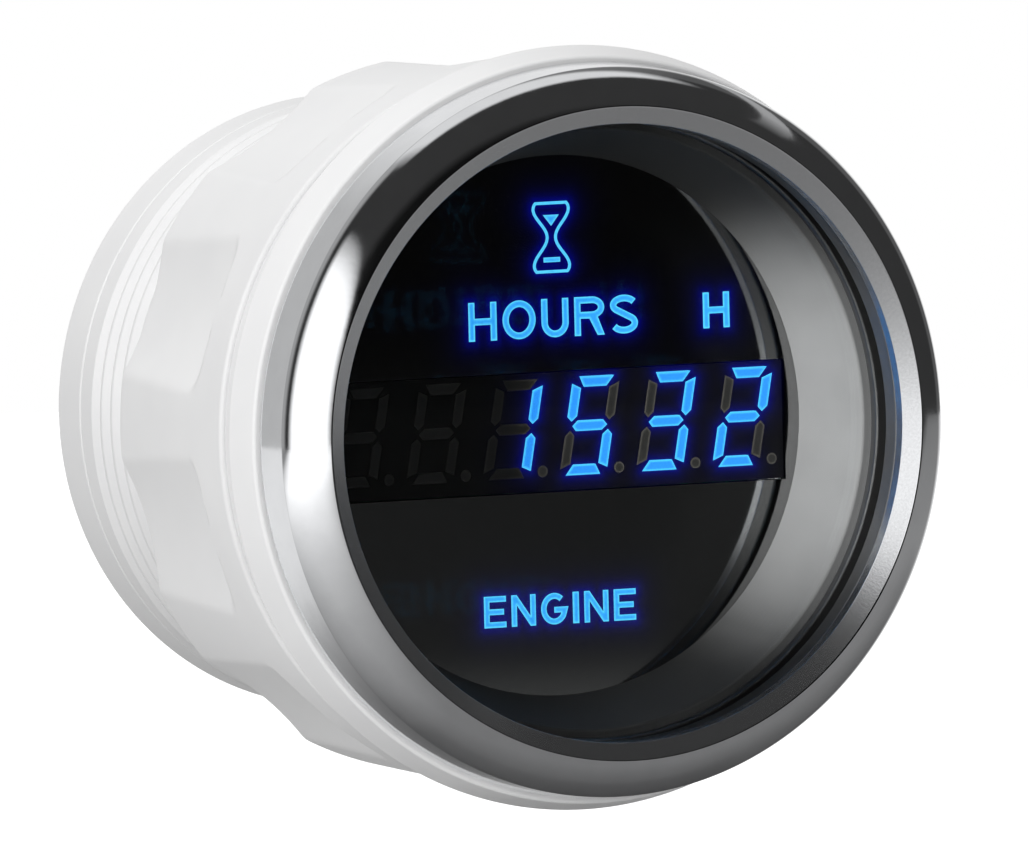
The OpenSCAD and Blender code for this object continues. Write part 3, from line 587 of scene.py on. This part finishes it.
def letter(sign, w, h, t=STEM):
    """Loops of a capital of a width and height, with its corner at the origin."""
    m, x, y = t / 2, w / 2, h / 2
    if sign == "H":
        return [[(0, 0), (t, 0), (t, y - m), (w - t, y - m), (w - t, 0), (w, 0), (w, h), (w - t, h),
                 (w - t, y + m), (t, y + m), (t, h), (0, h)]]
    if sign == "E":
        return [[(0, 0), (w, 0), (w, t), (t, t), (t, y - m), (w * 0.9, y - m), (w * 0.9, y + m), (t, y + m),
                 (t, h - t), (w, h - t), (w, h), (0, h)]]
    if sign == "N":
        return [[(0, 0), (t, 0), (t, h - t * 1.7), (w - t, 0), (w, 0), (w, h), (w - t, h), (w - t, t * 1.7),
                 (t, h), (0, h)]]
    if sign == "I":
        return [[(0, 0), (w, 0), (w, h), (0, h)]]
    if sign == "O":
        return stroke(arc((x, y), (x - m, y - m), 0, 360, 49)[:-1], t, closed=True)
    if sign == "U":
        bowl = arc((x, x), (x - m, x - m), 180, 360)
        return stroke([(m, h)] + bowl + [(w - m, h)], t)
    if sign == "S":
        top = arc((x, h * 0.74), (x - m, h * 0.26 - m), 25, 235)
        low = arc((x, h * 0.27), (x - m, h * 0.27 - m), 55, -155)
        return stroke(top + low, t)
    if sign == "G":
        bowl = arc((x, y), (x - m, y - m), 48, 328, 36)
        return stroke(bowl + [(w - m, y - m * 0.4), (x, y - m * 0.4)], t)
    bowl = arc((w * 0.58, h * 0.72), (w * 0.42, h * 0.28), 90, -62)
    inner = arc((w * 0.58, h * 0.72), (w * 0.42 - t, h * 0.28 - t), -90, 90)
    leg = [(w, 0), (w - t * 1.15, 0), (w * 0.5, h * 0.44 - 0.02), (t, h * 0.44), (t, 0), (0, 0)]
    return [[(0, h)] + bowl + leg, [(t, h * 0.44 + t)] + inner + [(t, h - t)]]


def word(letters, height, gap, centre, base, t=STEM):
    """Loops of a row of (sign, width) capitals centred over a point of the dial."""
    loops, x = [], centre - (sum(w for _, w in letters) + gap * (len(letters) - 1)) / 2
    for sign, w in letters:
        loops += [[(px + x, py + base) for px, py in loop] for loop in letter(sign, w, height, t)]
        x += w + gap
    return loops


def printed(name, loops, front):
    """A thin plate of the given outline on a face at a height, with even-odd holes."""
    shape = bmesh.new()
    for loop in loops:
        ring = [shape.verts.new((x * MM, -front * MM, z * MM)) for x, z in loop]
        for a, b in zip(ring, ring[1:] + ring[:1]):
            shape.edges.new((a, b))
    bmesh.ops.triangle_fill(shape, edges=shape.edges[:], use_beauty=True)
    grown = bmesh.ops.extrude_face_region(shape, geom=shape.faces[:])["geom"]
    lifted = [v for v in grown if isinstance(v, bmesh.types.BMVert)]
    bmesh.ops.translate(shape, verts=lifted, vec=(0, -LEGEND_T * MM, 0))
    bmesh.ops.recalc_face_normals(shape, faces=shape.faces[:])
    mesh = bpy.data.meshes.new(name)
    shape.to_mesh(mesh)
    shape.free()
    return mesh


HOURGLASS_AT = 15.5
HOURGLASS_H = 5.65
HOURGLASS_W = 1.62
HOURGLASS_WAIST = 0.38
HOURGLASS_PEN = 0.24
HOURGLASS_CORNER = 0.3
HOURGLASS_PINCH = 0.22
HOURGLASS_BULB = 0.85
SAND_W, SAND_TOP, SAND_TIP = 0.72, 1.85, 0.95
HEAP_W, HEAP_TOP, HEAP_FOOT = 0.75, 1.65, 2.05
sides = []
for step in np.linspace(-1, 1, 41):
    swell = (1 - math.cos(math.pi * min(abs(step) / HOURGLASS_BULB, 1))) / 2
    pinch = max(abs(step) - (1 - HOURGLASS_CORNER), 0) / HOURGLASS_CORNER
    reach = HOURGLASS_WAIST + (HOURGLASS_W - HOURGLASS_WAIST) * swell - HOURGLASS_PINCH * pinch ** 4
    sides.append((reach, HOURGLASS_AT + step * HOURGLASS_H / 2))
bulbs = sides + [(-x, z) for x, z in sides[::-1]]
sand = [(-SAND_W, HOURGLASS_AT + SAND_TOP), (SAND_W, HOURGLASS_AT + SAND_TOP), (0, HOURGLASS_AT + SAND_TIP)]
heap = [(-HEAP_W, HOURGLASS_AT - HEAP_FOOT), (HEAP_W, HOURGLASS_AT - HEAP_FOOT),
        (HEAP_W, HOURGLASS_AT - HEAP_TOP), (-HEAP_W, HOURGLASS_AT - HEAP_TOP)]
legends = {
    "hourglass_window": stroke(bulbs, HOURGLASS_PEN, closed=True) + [sand, heap],
    "hours_window": word([("H", 2.55), ("O", 3.0), ("U", 2.46), ("R", 2.72), ("S", 2.5)],
                         height=3.2, gap=0.55, centre=0, base=7.25),
    "unit_window": word([("H", 2.4)], height=2.96, gap=0, centre=14.9, base=7.3),
    "engine_window": word([("E", 2.0), ("N", 2.2), ("G", 2.4), ("I", 0.55), ("N", 2.2), ("E", 2.0)],
                          height=2.6, gap=0.5, centre=0, base=-16.4, t=0.48),
}
# Blue film over clear acrylic, lit from behind: pale cyan, a little brighter along the print's edge.
lit_film, tree, place = new_material("blue_film_lit_from_behind")
edge = add(tree, "ShaderNodeAttribute", {}, attribute_name="rim")
speck = add(tree, "ShaderNodeTexNoise", {"Vector": place, "Scale": per_mm(0.2), "Detail": 1.0})
light = add(tree, "ShaderNodeMixRGB", {
    "Fac": edge.outputs["Fac"], "Color1": linear("#2F9EF2"), "Color2": linear("#58D2FF")})
level = add(tree, "ShaderNodeMapRange", {"Value": speck, "To Min": 0.9, "To Max": 1.25})
add(tree, "Principled BSDF", {
    "Base Color": linear(UNLIT_BLUE), "Roughness": 0.3, "Emission Color": light,
    "Emission Strength": level})
legend_edges = []
for name, loops in legends.items():
    flat = printed(name + "_plate", loops, DIAL_FACE)
    outline = face_outline(flat)
    window = gridded(name, flat, LEGEND_CELL)
    paint(window, "rim", outline, rim)
    window.data.materials.append(lit_film)
    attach(window, "meter")
    bpy.data.meshes.remove(flat)
    legend_edges.append(outline)

# Dial: an acrylic disc behind the lens with a smoked mirror film, which shows the ring round it.
# The legends throw a blue haze on the film round them.
DIAL_CELL = 0.4
dial_plate = gridded("printed_dial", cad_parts["dial"].data, DIAL_CELL)
paint(dial_plate, "haze", np.concatenate(legend_edges), haze)
# Smoked mirror film: a dark mirror, black wherever the room in front is dark, with a trace of unevenness.
dial_gloss, tree, place = new_material("smoked_mirror_film_on_acrylic")
speck = add(tree, "ShaderNodeTexNoise", {"Vector": place, "Scale": per_mm(0.35), "Detail": 3.0})
shade = add(tree, "ShaderNodeMixRGB", {
    "Fac": speck, "Color1": linear("#989898"), "Color2": linear("#A4A4A4")})
gloss = add(tree, "ShaderNodeMapRange", {"Value": speck, "To Min": 0.03, "To Max": 0.06})
glow = add(tree, "ShaderNodeAttribute", {}, attribute_name="haze")
add(tree, "Principled BSDF", {
    "Base Color": shade, "Metallic": 1.0, "Roughness": gloss,
    "Emission Color": linear(HAZE_BLUE), "Emission Strength": glow.outputs["Fac"]})
dial_plate.data.materials.append(dial_gloss)
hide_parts("dial")
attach(dial_plate, "meter")

# Reflector ring: a grey ABS moulding, whose cone leads the eye from the lens down to the dial.
# It lies in the case under the seal, and its foot holds the dial on its ledge.
LENS_R, LENS_FRONT, LENS_BACK = extent("lens")
RIM_TOP = extent("reflector_ring")[1]
RIM_R = 24.5
CONE_FOOT_R = 22.25
CONE_WALL = 0.6
CONE_CLEARANCE = 0.15
RIM_SLOPE = 0.2
cone_shoulder_r = CONE_SEAT_R - CONE_CLEARANCE
ring_body = rounded([
    (CONE_FOOT_R, DIAL_FACE, 0.03), (CONE_FOOT_R + CONE_WALL, DIAL_FACE, 0.1),
    (cone_shoulder_r, RIM_BACK, 0.05), (LENS_R, RIM_BACK, 0.1), (LENS_R, RIM_TOP, 0.1),
    (RIM_R + RIM_SLOPE, RIM_TOP, 0.3),
])
# Grey ABS from a turned mould: an even satin grey with fine rings, bright only where the light rakes it.
satin_grey, tree, place = new_material("grey_abs_from_turned_mould")
cloud = add(tree, "ShaderNodeTexNoise", {"Vector": place, "Scale": per_mm(5), "Detail": 2.0})
rings = add(tree, "ShaderNodeTexWave", {
    "Vector": place, "Scale": per_mm(1.5), "Distortion": 1.0}, bands_direction="Y")
shade = add(tree, "ShaderNodeMixRGB", {
    "Fac": cloud, "Color1": linear("#383838"), "Color2": linear("#404040")})
gloss = add(tree, "ShaderNodeMapRange", {"Value": rings.outputs["Fac"], "To Min": 0.58, "To Max": 0.62})
add(tree, "Principled BSDF", {
    "Base Color": shade, "Roughness": gloss, "IOR": 1.3})
ring_skin = swept("cone_ring", lambda angle: ring_body)
ring_skin.data.materials.append(satin_grey)
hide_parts("reflector_ring")
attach(ring_skin, "meter")

# Seals: two black rubber rings, one behind the lens and one between the lens and the bezel's lip.
# Nitrile rubber: deep black with a slightly uneven skin. Its IOR is set high, above real rubber's, for the
# sheen that the rings show at a low angle.
VIEW_R = 25.4
seal_rubber, tree, place = new_material("moulded_nitrile_rubber")
skin = add(tree, "ShaderNodeTexNoise", {"Vector": place, "Scale": per_mm(0.5), "Detail": 3.0})
shade = add(tree, "ShaderNodeMixRGB", {
    "Fac": skin, "Color1": linear("#0A0A0A"), "Color2": linear("#141414")})
gloss = add(tree, "ShaderNodeMapRange", {"Value": skin, "To Min": 0.28, "To Max": 0.38})
relief = add(tree, "ShaderNodeBump", {"Height": skin, "Strength": 0.15, "Distance": 0.03 * MM})
add(tree, "Principled BSDF", {
    "Base Color": shade, "Roughness": gloss, "IOR": 2.4,
    "Normal": relief})
for name, node in (("front_gasket", "lens_gasket"), ("rear_seal", "lens_seal")):
    seal_r, top, bottom = extent(node)
    seal_body = rounded([
        (VIEW_R, bottom, 0.25), (seal_r, bottom, 0.1), (seal_r, top, 0.1), (VIEW_R, top, 0.25)])
    seal_skin = swept(name, lambda angle: seal_body, columns=192)
    seal_skin.data.materials.append(seal_rubber)
    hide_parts(node)
    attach(seal_skin, "meter")

# Lens: a flat disc of clear glass with ground edges.
# Its polish leaves only a trace of unevenness in what it mirrors. Its IOR is set low, below real glass's,
# because the photograph shows next to nothing of the room in it.
EDGE_BAND = 0.1
lens_body = rounded([
    (0, LENS_BACK, 0), (LENS_R, LENS_BACK, 0.2), (LENS_R, LENS_FRONT, 0.2), (0, LENS_FRONT, 0)])
lens_skin = swept("glass_disc", lambda angle: lens_body, columns=192)
clear_glass, tree, place = new_material("polished_float_glass")
polish = add(tree, "ShaderNodeTexNoise", {"Vector": place, "Scale": per_mm(8), "Detail": 1.0})
gloss = add(tree, "ShaderNodeMapRange", {"Value": polish, "To Min": 0.0, "To Max": 0.01})
glass = add(tree, "Principled BSDF", {
    "Base Color": linear("#FBFDFD"), "Roughness": gloss, "IOR": 1.25,
    "Transmission Weight": 1.0})
# Lamps shine straight through it on to the dial.
rays = add(tree, "ShaderNodeLightPath", {})
through = add(tree, "ShaderNodeBsdfTransparent", {"Color": linear("#EEEEEE")})
blend = add(tree, "ShaderNodeMixShader", {
    0: rays.outputs["Is Shadow Ray"], 1: glass, 2: through})
add(tree, "Material Output", {"Surface": blend})
lens_skin.data.materials.append(clear_glass)
# Ground glass: the wheel leaves the edge matt and grey, so it catches light between the two seals.
ground_glass, tree, place = new_material("ground_glass_edge")
frost = add(tree, "ShaderNodeTexNoise", {"Vector": place, "Scale": per_mm(0.3), "Detail": 2.0})
shade = add(tree, "ShaderNodeMixRGB", {
    "Fac": frost, "Color1": linear("#4A4A4A"), "Color2": linear("#565656")})
add(tree, "Principled BSDF", {"Base Color": shade, "Roughness": 0.7})
lens_skin.data.materials.append(ground_glass)
for polygon in lens_skin.data.polygons:
    r = math.hypot(polygon.center.x, polygon.center.z) / MM
    polygon.material_index = int(r > LENS_R - EDGE_BAND)
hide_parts("lens")
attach(lens_skin, "meter")

# Bezel: a chrome-plated ring that snaps over the spigot, with a rounded crown and a satin bevel.
# Its hook springs into the groove behind the spigot and its lip presses on the front gasket.
BEZEL_R, CREST_H, BEZEL_BACK = extent("bezel")
SKIRT_DRAFT = 0.3
SKIRT_H = 3.5
SKIRT_WALL = 1.4
BEVEL_RUN = 1.45
BEVEL_DROP = 0.83
LIP_T = 1.15
HOOK_REACH = 0.4
BRIGHT_EDGE = 0.1
LIP_EDGE = 0.05
CORNER = Vector((BEZEL_R - SKIRT_DRAFT, BEZEL_BACK + SKIRT_H))
CREST = Vector((VIEW_R + BEVEL_RUN, CREST_H))
LIP_TOP = CREST_H - BEVEL_DROP
LIP_BACK = LIP_TOP - LIP_T
SKIRT_R = BEZEL_R - SKIRT_WALL
HOOK_R = SKIRT_R - HOOK_REACH
HOOK_H = 0.8
CROWN_R = 4.6
CROWN_STEPS = 28
chord = CREST - CORNER
crown_centre = (CORNER + CREST) / 2 + Vector((-chord.y, chord.x)).normalized() * math.sqrt(
    CROWN_R ** 2 - chord.length_squared / 4)
crown_start, crown_end = (math.atan2(p.y - crown_centre.y, p.x - crown_centre.x) for p in (CORNER, CREST))
crown = [(crown_centre.x + CROWN_R * math.cos(t), crown_centre.y + CROWN_R * math.sin(t), 0)
         for t in np.linspace(crown_start, crown_end, CROWN_STEPS)[1:-1]]
bezel_body = rounded(
    [(HOOK_R, BEZEL_BACK, 0.05), (BEZEL_R, BEZEL_BACK, 0.12), (*CORNER, 0.5)] + crown
    + [(*CREST, 0.25), (VIEW_R, LIP_TOP, 0.12), (VIEW_R, LIP_BACK, 0.1), (SKIRT_R, LIP_BACK, 0.1),
       (SKIRT_R, BEZEL_BACK + HOOK_H, 0.1), (HOOK_R, BEZEL_BACK + HOOK_H / 2, 0.1)])
bezel_skin = swept("chrome_ring", lambda angle: bezel_body, columns=320)
# Bright chrome over polished zinc: a mirror with the slight waviness of a polished casting.
chrome, tree, place = new_material("polished_chrome_plate")
waves = add(tree, "ShaderNodeTexNoise", {"Vector": place, "Scale": per_mm(2.5), "Detail": 4.0})
shade = add(tree, "ShaderNodeMixRGB", {
    "Fac": waves, "Color1": linear("#E0E1E3"), "Color2": linear("#EDEEF0")})
gloss = add(tree, "ShaderNodeMapRange", {"Value": waves, "To Min": 0.05, "To Max": 0.12})
relief = add(tree, "ShaderNodeBump", {"Height": waves, "Strength": 0.14, "Distance": 0.05 * MM})
add(tree, "Principled BSDF", {
    "Base Color": shade, "Metallic": 1.0, "Roughness": gloss,
    "Normal": relief})
# Satin chrome: the bevel and the lip are blasted before plating and show a soft grey sparkle, no clear image.
satin, tree, place = new_material("blasted_satin_chrome")
sparkle = add(tree, "ShaderNodeTexNoise", {"Vector": place, "Scale": per_mm(0.18), "Detail": 2.0})
shade = add(tree, "ShaderNodeMixRGB", {
    "Fac": sparkle, "Color1": linear("#CFD0D2"), "Color2": linear("#E6E7E9")})
relief = add(tree, "ShaderNodeBump", {"Height": sparkle, "Strength": 0.25, "Distance": 0.02 * MM})
add(tree, "Principled BSDF", {
    "Base Color": shade, "Metallic": 1.0, "Roughness": 0.26, "Normal": relief})
bezel_skin.data.materials.append(chrome)
bezel_skin.data.materials.append(satin)
for polygon in bezel_skin.data.polygons:
    r = math.hypot(polygon.center.x, polygon.center.z) / MM
    h = -polygon.center.y / MM
    polygon.material_index = int(r < CREST.x - BRIGHT_EDGE and h > LIP_BACK + LIP_EDGE)
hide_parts("bezel")
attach(bezel_skin, "meter")

# Floor: a pale paper sweep a little below the meter, which fades into the white of the studio.
# It keeps the meter's shadow. Bounced light also sees a painted shadow behind the meter. Metal and glass see
# a painted shadow round the meter, painted dusk far in front, a painted pool of light on the left and a
# painted lit wall behind, which show in the chrome as the grey of the lower half.
FLOOR_DROP = 12.0
FLOOR_R = 680.0
SWEEP_NEAR = 45.0
SWEEP_FAR = 95.0
PANEL_SIDE = Vector((-1, -0.1, 0))
PAINTED_PANEL_GLOW = (22.0, 185.0)
PAINTED_PANEL_END = (150.0, 50.0)
PAINTED_DUSK = (-150.0, -300.0)
PAINTED_SHADE_RUN = (-25.0, 45.0)
PAINTED_WALL_RUN = (15.0, 55.0)
PAINTED_SHADE_END = (70.0, 150.0)
PAINTED_WALL_TURN = (0.4, 0.66)
PAINTED_WALL_LEVEL = 0.6
WHITE_LEVEL = 1.3
floor_mesh = bpy.data.meshes.new("floor")
rim_turns = np.linspace(0, 2 * math.pi, 97)[:-1]
floor_z = -(FLANGE_R + FLOOR_DROP) * MM
floor_rim = [(FLOOR_R * MM * math.cos(t), FLOOR_R * MM * math.sin(t), floor_z) for t in rim_turns]
floor_mesh.from_pydata(floor_rim, [], [list(range(len(floor_rim)))])
floor = bpy.data.objects.new("floor", floor_mesh)
bpy.context.scene.collection.objects.link(floor)
paper, tree, place = new_material("paper_sweep_with_painted_shade_and_light")
fibre = add(tree, "ShaderNodeTexNoise", {"Vector": place, "Scale": per_mm(20), "Detail": 3.0})
rays = add(tree, "ShaderNodeLightPath", {})
shiny = add(tree, "ShaderNodeMath", {
    0: rays.outputs["Is Glossy Ray"], 1: rays.outputs["Is Transmission Ray"]}, operation="MAXIMUM")
shade = add(tree, "ShaderNodeMixRGB", {
    "Fac": fibre, "Color1": linear("#CACACA"), "Color2": linear("#D2D2D2")})
far = add(tree, "ShaderNodeVectorMath", {0: place}, operation="LENGTH")
backward = add(tree, "ShaderNodeSeparateXYZ", {"Vector": place})
# Painted shadow: to bounced light the floor grows darker behind the meter. To metal and glass it is grey
# round the meter, darker behind it and paler further off.
behind = add(tree, "ShaderNodeMapRange", {
    "Value": backward.outputs["Y"], "From Min": PAINTED_SHADE_RUN[0] * MM, "From Max": PAINTED_SHADE_RUN[1] * MM})
painted_shadow_bounce = add(tree, "ShaderNodeMixRGB", {
    "Fac": behind, "Color1": linear("#EEEEEE"), "Color2": linear("#484848")})
mirrored_painted_shade = add(tree, "ShaderNodeMixRGB", {
    "Fac": behind, "Color1": linear("#8E8E8E"), "Color2": linear("#484848")})
clear = add(tree, "ShaderNodeMapRange", {
    "Value": far.outputs["Value"], "From Min": PAINTED_SHADE_END[0] * MM, "From Max": PAINTED_SHADE_END[1] * MM})
mirrored_painted_shade = add(tree, "ShaderNodeMixRGB", {
    "Fac": clear, "Color1": mirrored_painted_shade, "Color2": linear("#A4A4A4")})
# Painted dusk: to metal and glass the floor far in front of the meter turns dark.
painted_dusk = add(tree, "ShaderNodeMapRange", {
    "Value": backward.outputs["Y"], "From Min": PAINTED_DUSK[0] * MM, "From Max": PAINTED_DUSK[1] * MM})
mirrored_painted_shade = add(tree, "ShaderNodeMixRGB", {
    "Fac": painted_dusk, "Color1": mirrored_painted_shade, "Color2": linear("#2C2C2C")})
unseen = add(tree, "ShaderNodeMixRGB", {
    "Fac": shiny, "Color1": painted_shadow_bounce, "Color2": mirrored_painted_shade})
shade = add(tree, "ShaderNodeMixRGB", {
    "Fac": rays.outputs["Is Camera Ray"], "Color1": unseen, "Color2": shade})
sweep = add(tree, "ShaderNodeMapRange", {
    "Value": far.outputs["Value"], "From Min": SWEEP_NEAR * MM, "From Max": SWEEP_FAR * MM})
# Painted light: to metal and glass the floor glows white in a pool on the left, towards the panel.
beside = add(tree, "ShaderNodeVectorMath", {0: place, 1: PANEL_SIDE}, operation="DOT_PRODUCT")
glow = add(tree, "ShaderNodeMapRange", {
    "Value": beside.outputs["Value"], "From Min": PAINTED_PANEL_GLOW[0] * MM, "From Max": PAINTED_PANEL_GLOW[1] * MM})
ahead = add(tree, "ShaderNodeMapRange", {
    "Value": backward.outputs["Y"], "From Min": PAINTED_PANEL_END[0] * MM, "From Max": PAINTED_PANEL_END[1] * MM})
foot = add(tree, "ShaderNodeMath", {0: glow, 1: ahead}, operation="MULTIPLY")
# Painted light: to metal and glass the floor glows behind the meter as a lit wall.
wall = add(tree, "ShaderNodeMapRange", {
    "Value": backward.outputs["Y"], "From Min": PAINTED_WALL_RUN[0] * MM, "From Max": PAINTED_WALL_RUN[1] * MM,
    "To Max": PAINTED_WALL_LEVEL})
toward = add(tree, "ShaderNodeMath", {0: backward.outputs["Y"], 1: far.outputs["Value"]}, operation="DIVIDE")
toward = add(tree, "ShaderNodeMapRange", {
    "Value": toward, "From Min": PAINTED_WALL_TURN[0], "From Max": PAINTED_WALL_TURN[1]})
wall = add(tree, "ShaderNodeMath", {0: wall, 1: toward}, operation="MULTIPLY")
foot = add(tree, "ShaderNodeMath", {0: foot, 1: wall}, operation="MAXIMUM")
direct = add(tree, "ShaderNodeMath", {0: rays.outputs["Is Camera Ray"], 1: sweep},
             operation="MULTIPLY")
mirrored = add(tree, "ShaderNodeMath", {0: shiny, 1: foot}, operation="MULTIPLY")
lift = add(tree, "ShaderNodeMath", {0: direct, 1: mirrored}, operation="MAXIMUM")
white = add(tree, "ShaderNodeEmission", {"Color": (1, 1, 1, 1), "Strength": WHITE_LEVEL})
matt = add(tree, "Principled BSDF", {"Base Color": shade, "Roughness": 0.9})
blend = add(tree, "ShaderNodeMixShader", {
    0: lift, 1: matt, 2: white})
add(tree, "Material Output", {"Surface": blend})
floor.data.materials.append(paper)

# Studio: a large white panel on the left, a strip overhead, grey walls behind and dark ones elsewhere.
# Each is a range of the direction's X, Y or Z, and of its slope Z / X, as metal and glass see it.
# Matt surfaces get an even light that comes a little more from the left and above.
world = bpy.data.worlds.new("studio")
bpy.context.scene.world = world
world.use_nodes = True
tree = world.node_tree
way = add(tree, "ShaderNodeTexCoord", {}).outputs["Generated"]
axes = add(tree, "ShaderNodeSeparateXYZ", {"Vector": way}).outputs
left = add(tree, "ShaderNodeMapRange", {"Value": axes["X"], "From Min": -0.1, "From Max": -0.3})
slope = add(tree, "ShaderNodeMath", {0: axes["Z"], 1: axes["X"]}, operation="DIVIDE")
under = add(tree, "ShaderNodeMapRange", {"Value": slope, "From Min": -1.15, "From Max": -0.8})
before = add(tree, "ShaderNodeMapRange", {
    "Value": axes["Y"], "From Min": 0.22, "From Max": 0.04, "To Max": 1.3})
panel = add(tree, "ShaderNodeMath", {0: left, 1: under}, operation="MULTIPLY")
panel = add(tree, "ShaderNodeMath", {0: panel, 1: before}, operation="MULTIPLY")
above = add(tree, "ShaderNodeMapRange", {"Value": axes["Z"], "From Min": 0.72, "From Max": 0.82})
middle = add(tree, "ShaderNodeMapRange", {"Value": axes["X"], "From Min": -0.4, "From Max": -0.25})
strip = add(tree, "ShaderNodeMapRange", {"Value": axes["Y"], "From Min": 0.1, "From Max": 0.2, "To Max": 0.8})
strip = add(tree, "ShaderNodeMath", {0: above, 1: strip}, operation="MULTIPLY")
strip = add(tree, "ShaderNodeMath", {0: middle, 1: strip}, operation="MULTIPLY")
behind = add(tree, "ShaderNodeMapRange", {"Value": axes["Y"], "From Min": 0.28, "From Max": 0.4})
grey = add(tree, "ShaderNodeMapRange", {
    "Value": axes["X"], "From Min": 0.0, "From Max": 0.6, "To Min": 0.38, "To Max": 0.1})
behind = add(tree, "ShaderNodeMath", {0: behind, 1: grey}, operation="MULTIPLY")
window = add(tree, "ShaderNodeMapRange", {
    "Value": axes["Y"], "From Min": 0.62, "From Max": 0.76, "To Max": 0.88})
rightward = add(tree, "ShaderNodeMapRange", {
    "Value": axes["X"], "From Min": -0.25, "From Max": 0.08, "To Min": 0.6, "To Max": 1.0})
window = add(tree, "ShaderNodeMath", {0: window, 1: rightward},
             operation="MULTIPLY")
tube = add(tree, "ShaderNodeMath", {0: slope, 1: 0.71, 2: 0.07}, operation="COMPARE")
along = add(tree, "ShaderNodeMapRange", {
    "Value": axes["Y"], "From Min": -0.45, "From Max": 0.2, "To Max": 0.4})
right = add(tree, "ShaderNodeMapRange", {"Value": axes["X"], "From Min": 0.4, "From Max": 0.5})
tube = add(tree, "ShaderNodeMath", {0: tube, 1: along}, operation="MULTIPLY")
tube = add(tree, "ShaderNodeMath", {0: tube, 1: right}, operation="MULTIPLY")
dark = add(tree, "ShaderNodeMapRange", {
    "Value": axes["Y"], "From Min": -0.88, "From Max": -0.75, "To Min": 0.004, "To Max": 0.035})
room = panel
for wall in (strip, behind, window, tube,
             dark):
    room = add(tree, "ShaderNodeMath", {0: room, 1: wall}, operation="MAXIMUM")
FILL_FROM = Vector((-0.6, -0.25, 0.76))
toward = add(tree, "ShaderNodeVectorMath", {0: way, 1: FILL_FROM}, operation="DOT_PRODUCT")
fill = add(tree, "ShaderNodeMapRange", {
    "Value": toward.outputs["Value"], "From Min": -1.0, "From Max": 1.0, "To Min": 0.08, "To Max": 0.63})
rays = add(tree, "ShaderNodeLightPath", {})
shiny = add(tree, "ShaderNodeMath", {
    0: rays.outputs["Is Glossy Ray"], 1: rays.outputs["Is Transmission Ray"]}, operation="MAXIMUM")
lit = add(tree, "ShaderNodeBackground", {"Color": (1, 1, 1, 1), "Strength": fill})
walls = add(tree, "ShaderNodeBackground", {"Color": (1, 1, 1, 1), "Strength": room})
backdrop = add(tree, "ShaderNodeBackground", {"Color": (1, 1, 1, 1), "Strength": 1.0})
around = add(tree, "ShaderNodeMixShader", {
    0: shiny, 1: lit, 2: walls})
whole = add(tree, "ShaderNodeMixShader", {
    0: rays.outputs["Is Camera Ray"], 1: around, 2: backdrop})
add(tree, "World Output", {"Surface": whole})

# Lamps: the panel on the left and the strip overhead, as the matt surfaces receive them, and a small spot
# beside the bezel, which rakes the right side of the cone over the lip.
PANEL_LAMP = (-0.7, -0.48, 0.14)
PANEL_SIZE = (0.45, 0.35)
PANEL_WATTS = 3.5
STRIP_LAMP = (0.0, 0.0, 0.42)
STRIP_SIZE = (0.3, 0.12)
STRIP_WATTS = 0.5
SPOT_LAMP = (-0.069, -0.0375, 0.0)
SPOT_AIM = (0.0234, 0.0005, -0.0015)
SPOT_R = 0.003
SPOT_WIDTH = 24.0
SPOT_WATTS = 4.8
panel_data = bpy.data.lights.new("left_panel", "AREA")
strip_data = bpy.data.lights.new("overhead_strip", "AREA")
for lamp_data, size in ((panel_data, PANEL_SIZE), (strip_data, STRIP_SIZE)):
    lamp_data.shape = "RECTANGLE"
    lamp_data.size, lamp_data.size_y = size
spot_data = bpy.data.lights.new("cone_spot", "SPOT")
spot_data.shadow_soft_size = SPOT_R
spot_data.spot_size = math.radians(SPOT_WIDTH)
spot_data.spot_blend = 1.0
for lamp_data, spot, aim, watts in ((panel_data, PANEL_LAMP, (0, 0, 0), PANEL_WATTS),
                                    (strip_data, STRIP_LAMP, (0, 0, 0), STRIP_WATTS),
                                    (spot_data, SPOT_LAMP, SPOT_AIM, SPOT_WATTS)):
    lamp_data.energy = watts
    lamp = bpy.data.objects.new(lamp_data.name, lamp_data)
    bpy.context.scene.collection.objects.link(lamp)
    lamp.location = spot
    lamp.rotation_mode = "QUATERNION"
    lamp.rotation_quaternion = (Vector(aim) - lamp.location).to_track_quat("-Z", "Y")
    lamp.visible_glossy = False
    lamp.visible_transmission = False

# Camera: the photograph's place, to the left of the meter's axis and a little above it.
# A long lens gives the photograph's flat view. From much over three metres, the views from other sides
# would stand so far off that their far clip hides the meter.
AZIMUTH = math.radians(-25.56)
ELEVATION = math.radians(3.90)
ROLL = math.radians(-1.36)
DISTANCE = 3000.0
AIM = Vector((0, -7.23, 0))
PIXELS_PER_MM = 12.198
IMAGE_W, IMAGE_H = 1028, 850
SENSOR_W = 36.0
CLIP = (0.1, 20.0)
AIM_PIXEL = (612.40, 431.93)
back = Vector((math.sin(AZIMUTH) * math.cos(ELEVATION), -math.cos(AZIMUTH) * math.cos(ELEVATION),
               math.sin(ELEVATION)))
level = Vector((math.cos(AZIMUTH), math.sin(AZIMUTH), 0))
upward = back.cross(level)
across = level * math.cos(ROLL) + upward * math.sin(ROLL)
upward = upward * math.cos(ROLL) - level * math.sin(ROLL)
eye = AIM + back * DISTANCE - across * (AIM_PIXEL[0] - IMAGE_W / 2) / PIXELS_PER_MM
eye += upward * (AIM_PIXEL[1] - IMAGE_H / 2) / PIXELS_PER_MM
camera_data = bpy.data.cameras.new("camera")
camera_data.sensor_width = SENSOR_W
camera_data.lens = SENSOR_W * PIXELS_PER_MM * DISTANCE / IMAGE_W
camera_data.clip_start, camera_data.clip_end = CLIP
camera = bpy.data.objects.new("camera", camera_data)
bpy.context.scene.collection.objects.link(camera)
facing = Matrix((across, upward, back)).transposed().to_4x4()
camera.matrix_world = Matrix.Translation(eye * MM) @ facing
bpy.context.scene.camera = camera
bpy.context.scene.view_settings.view_transform = "Standard"
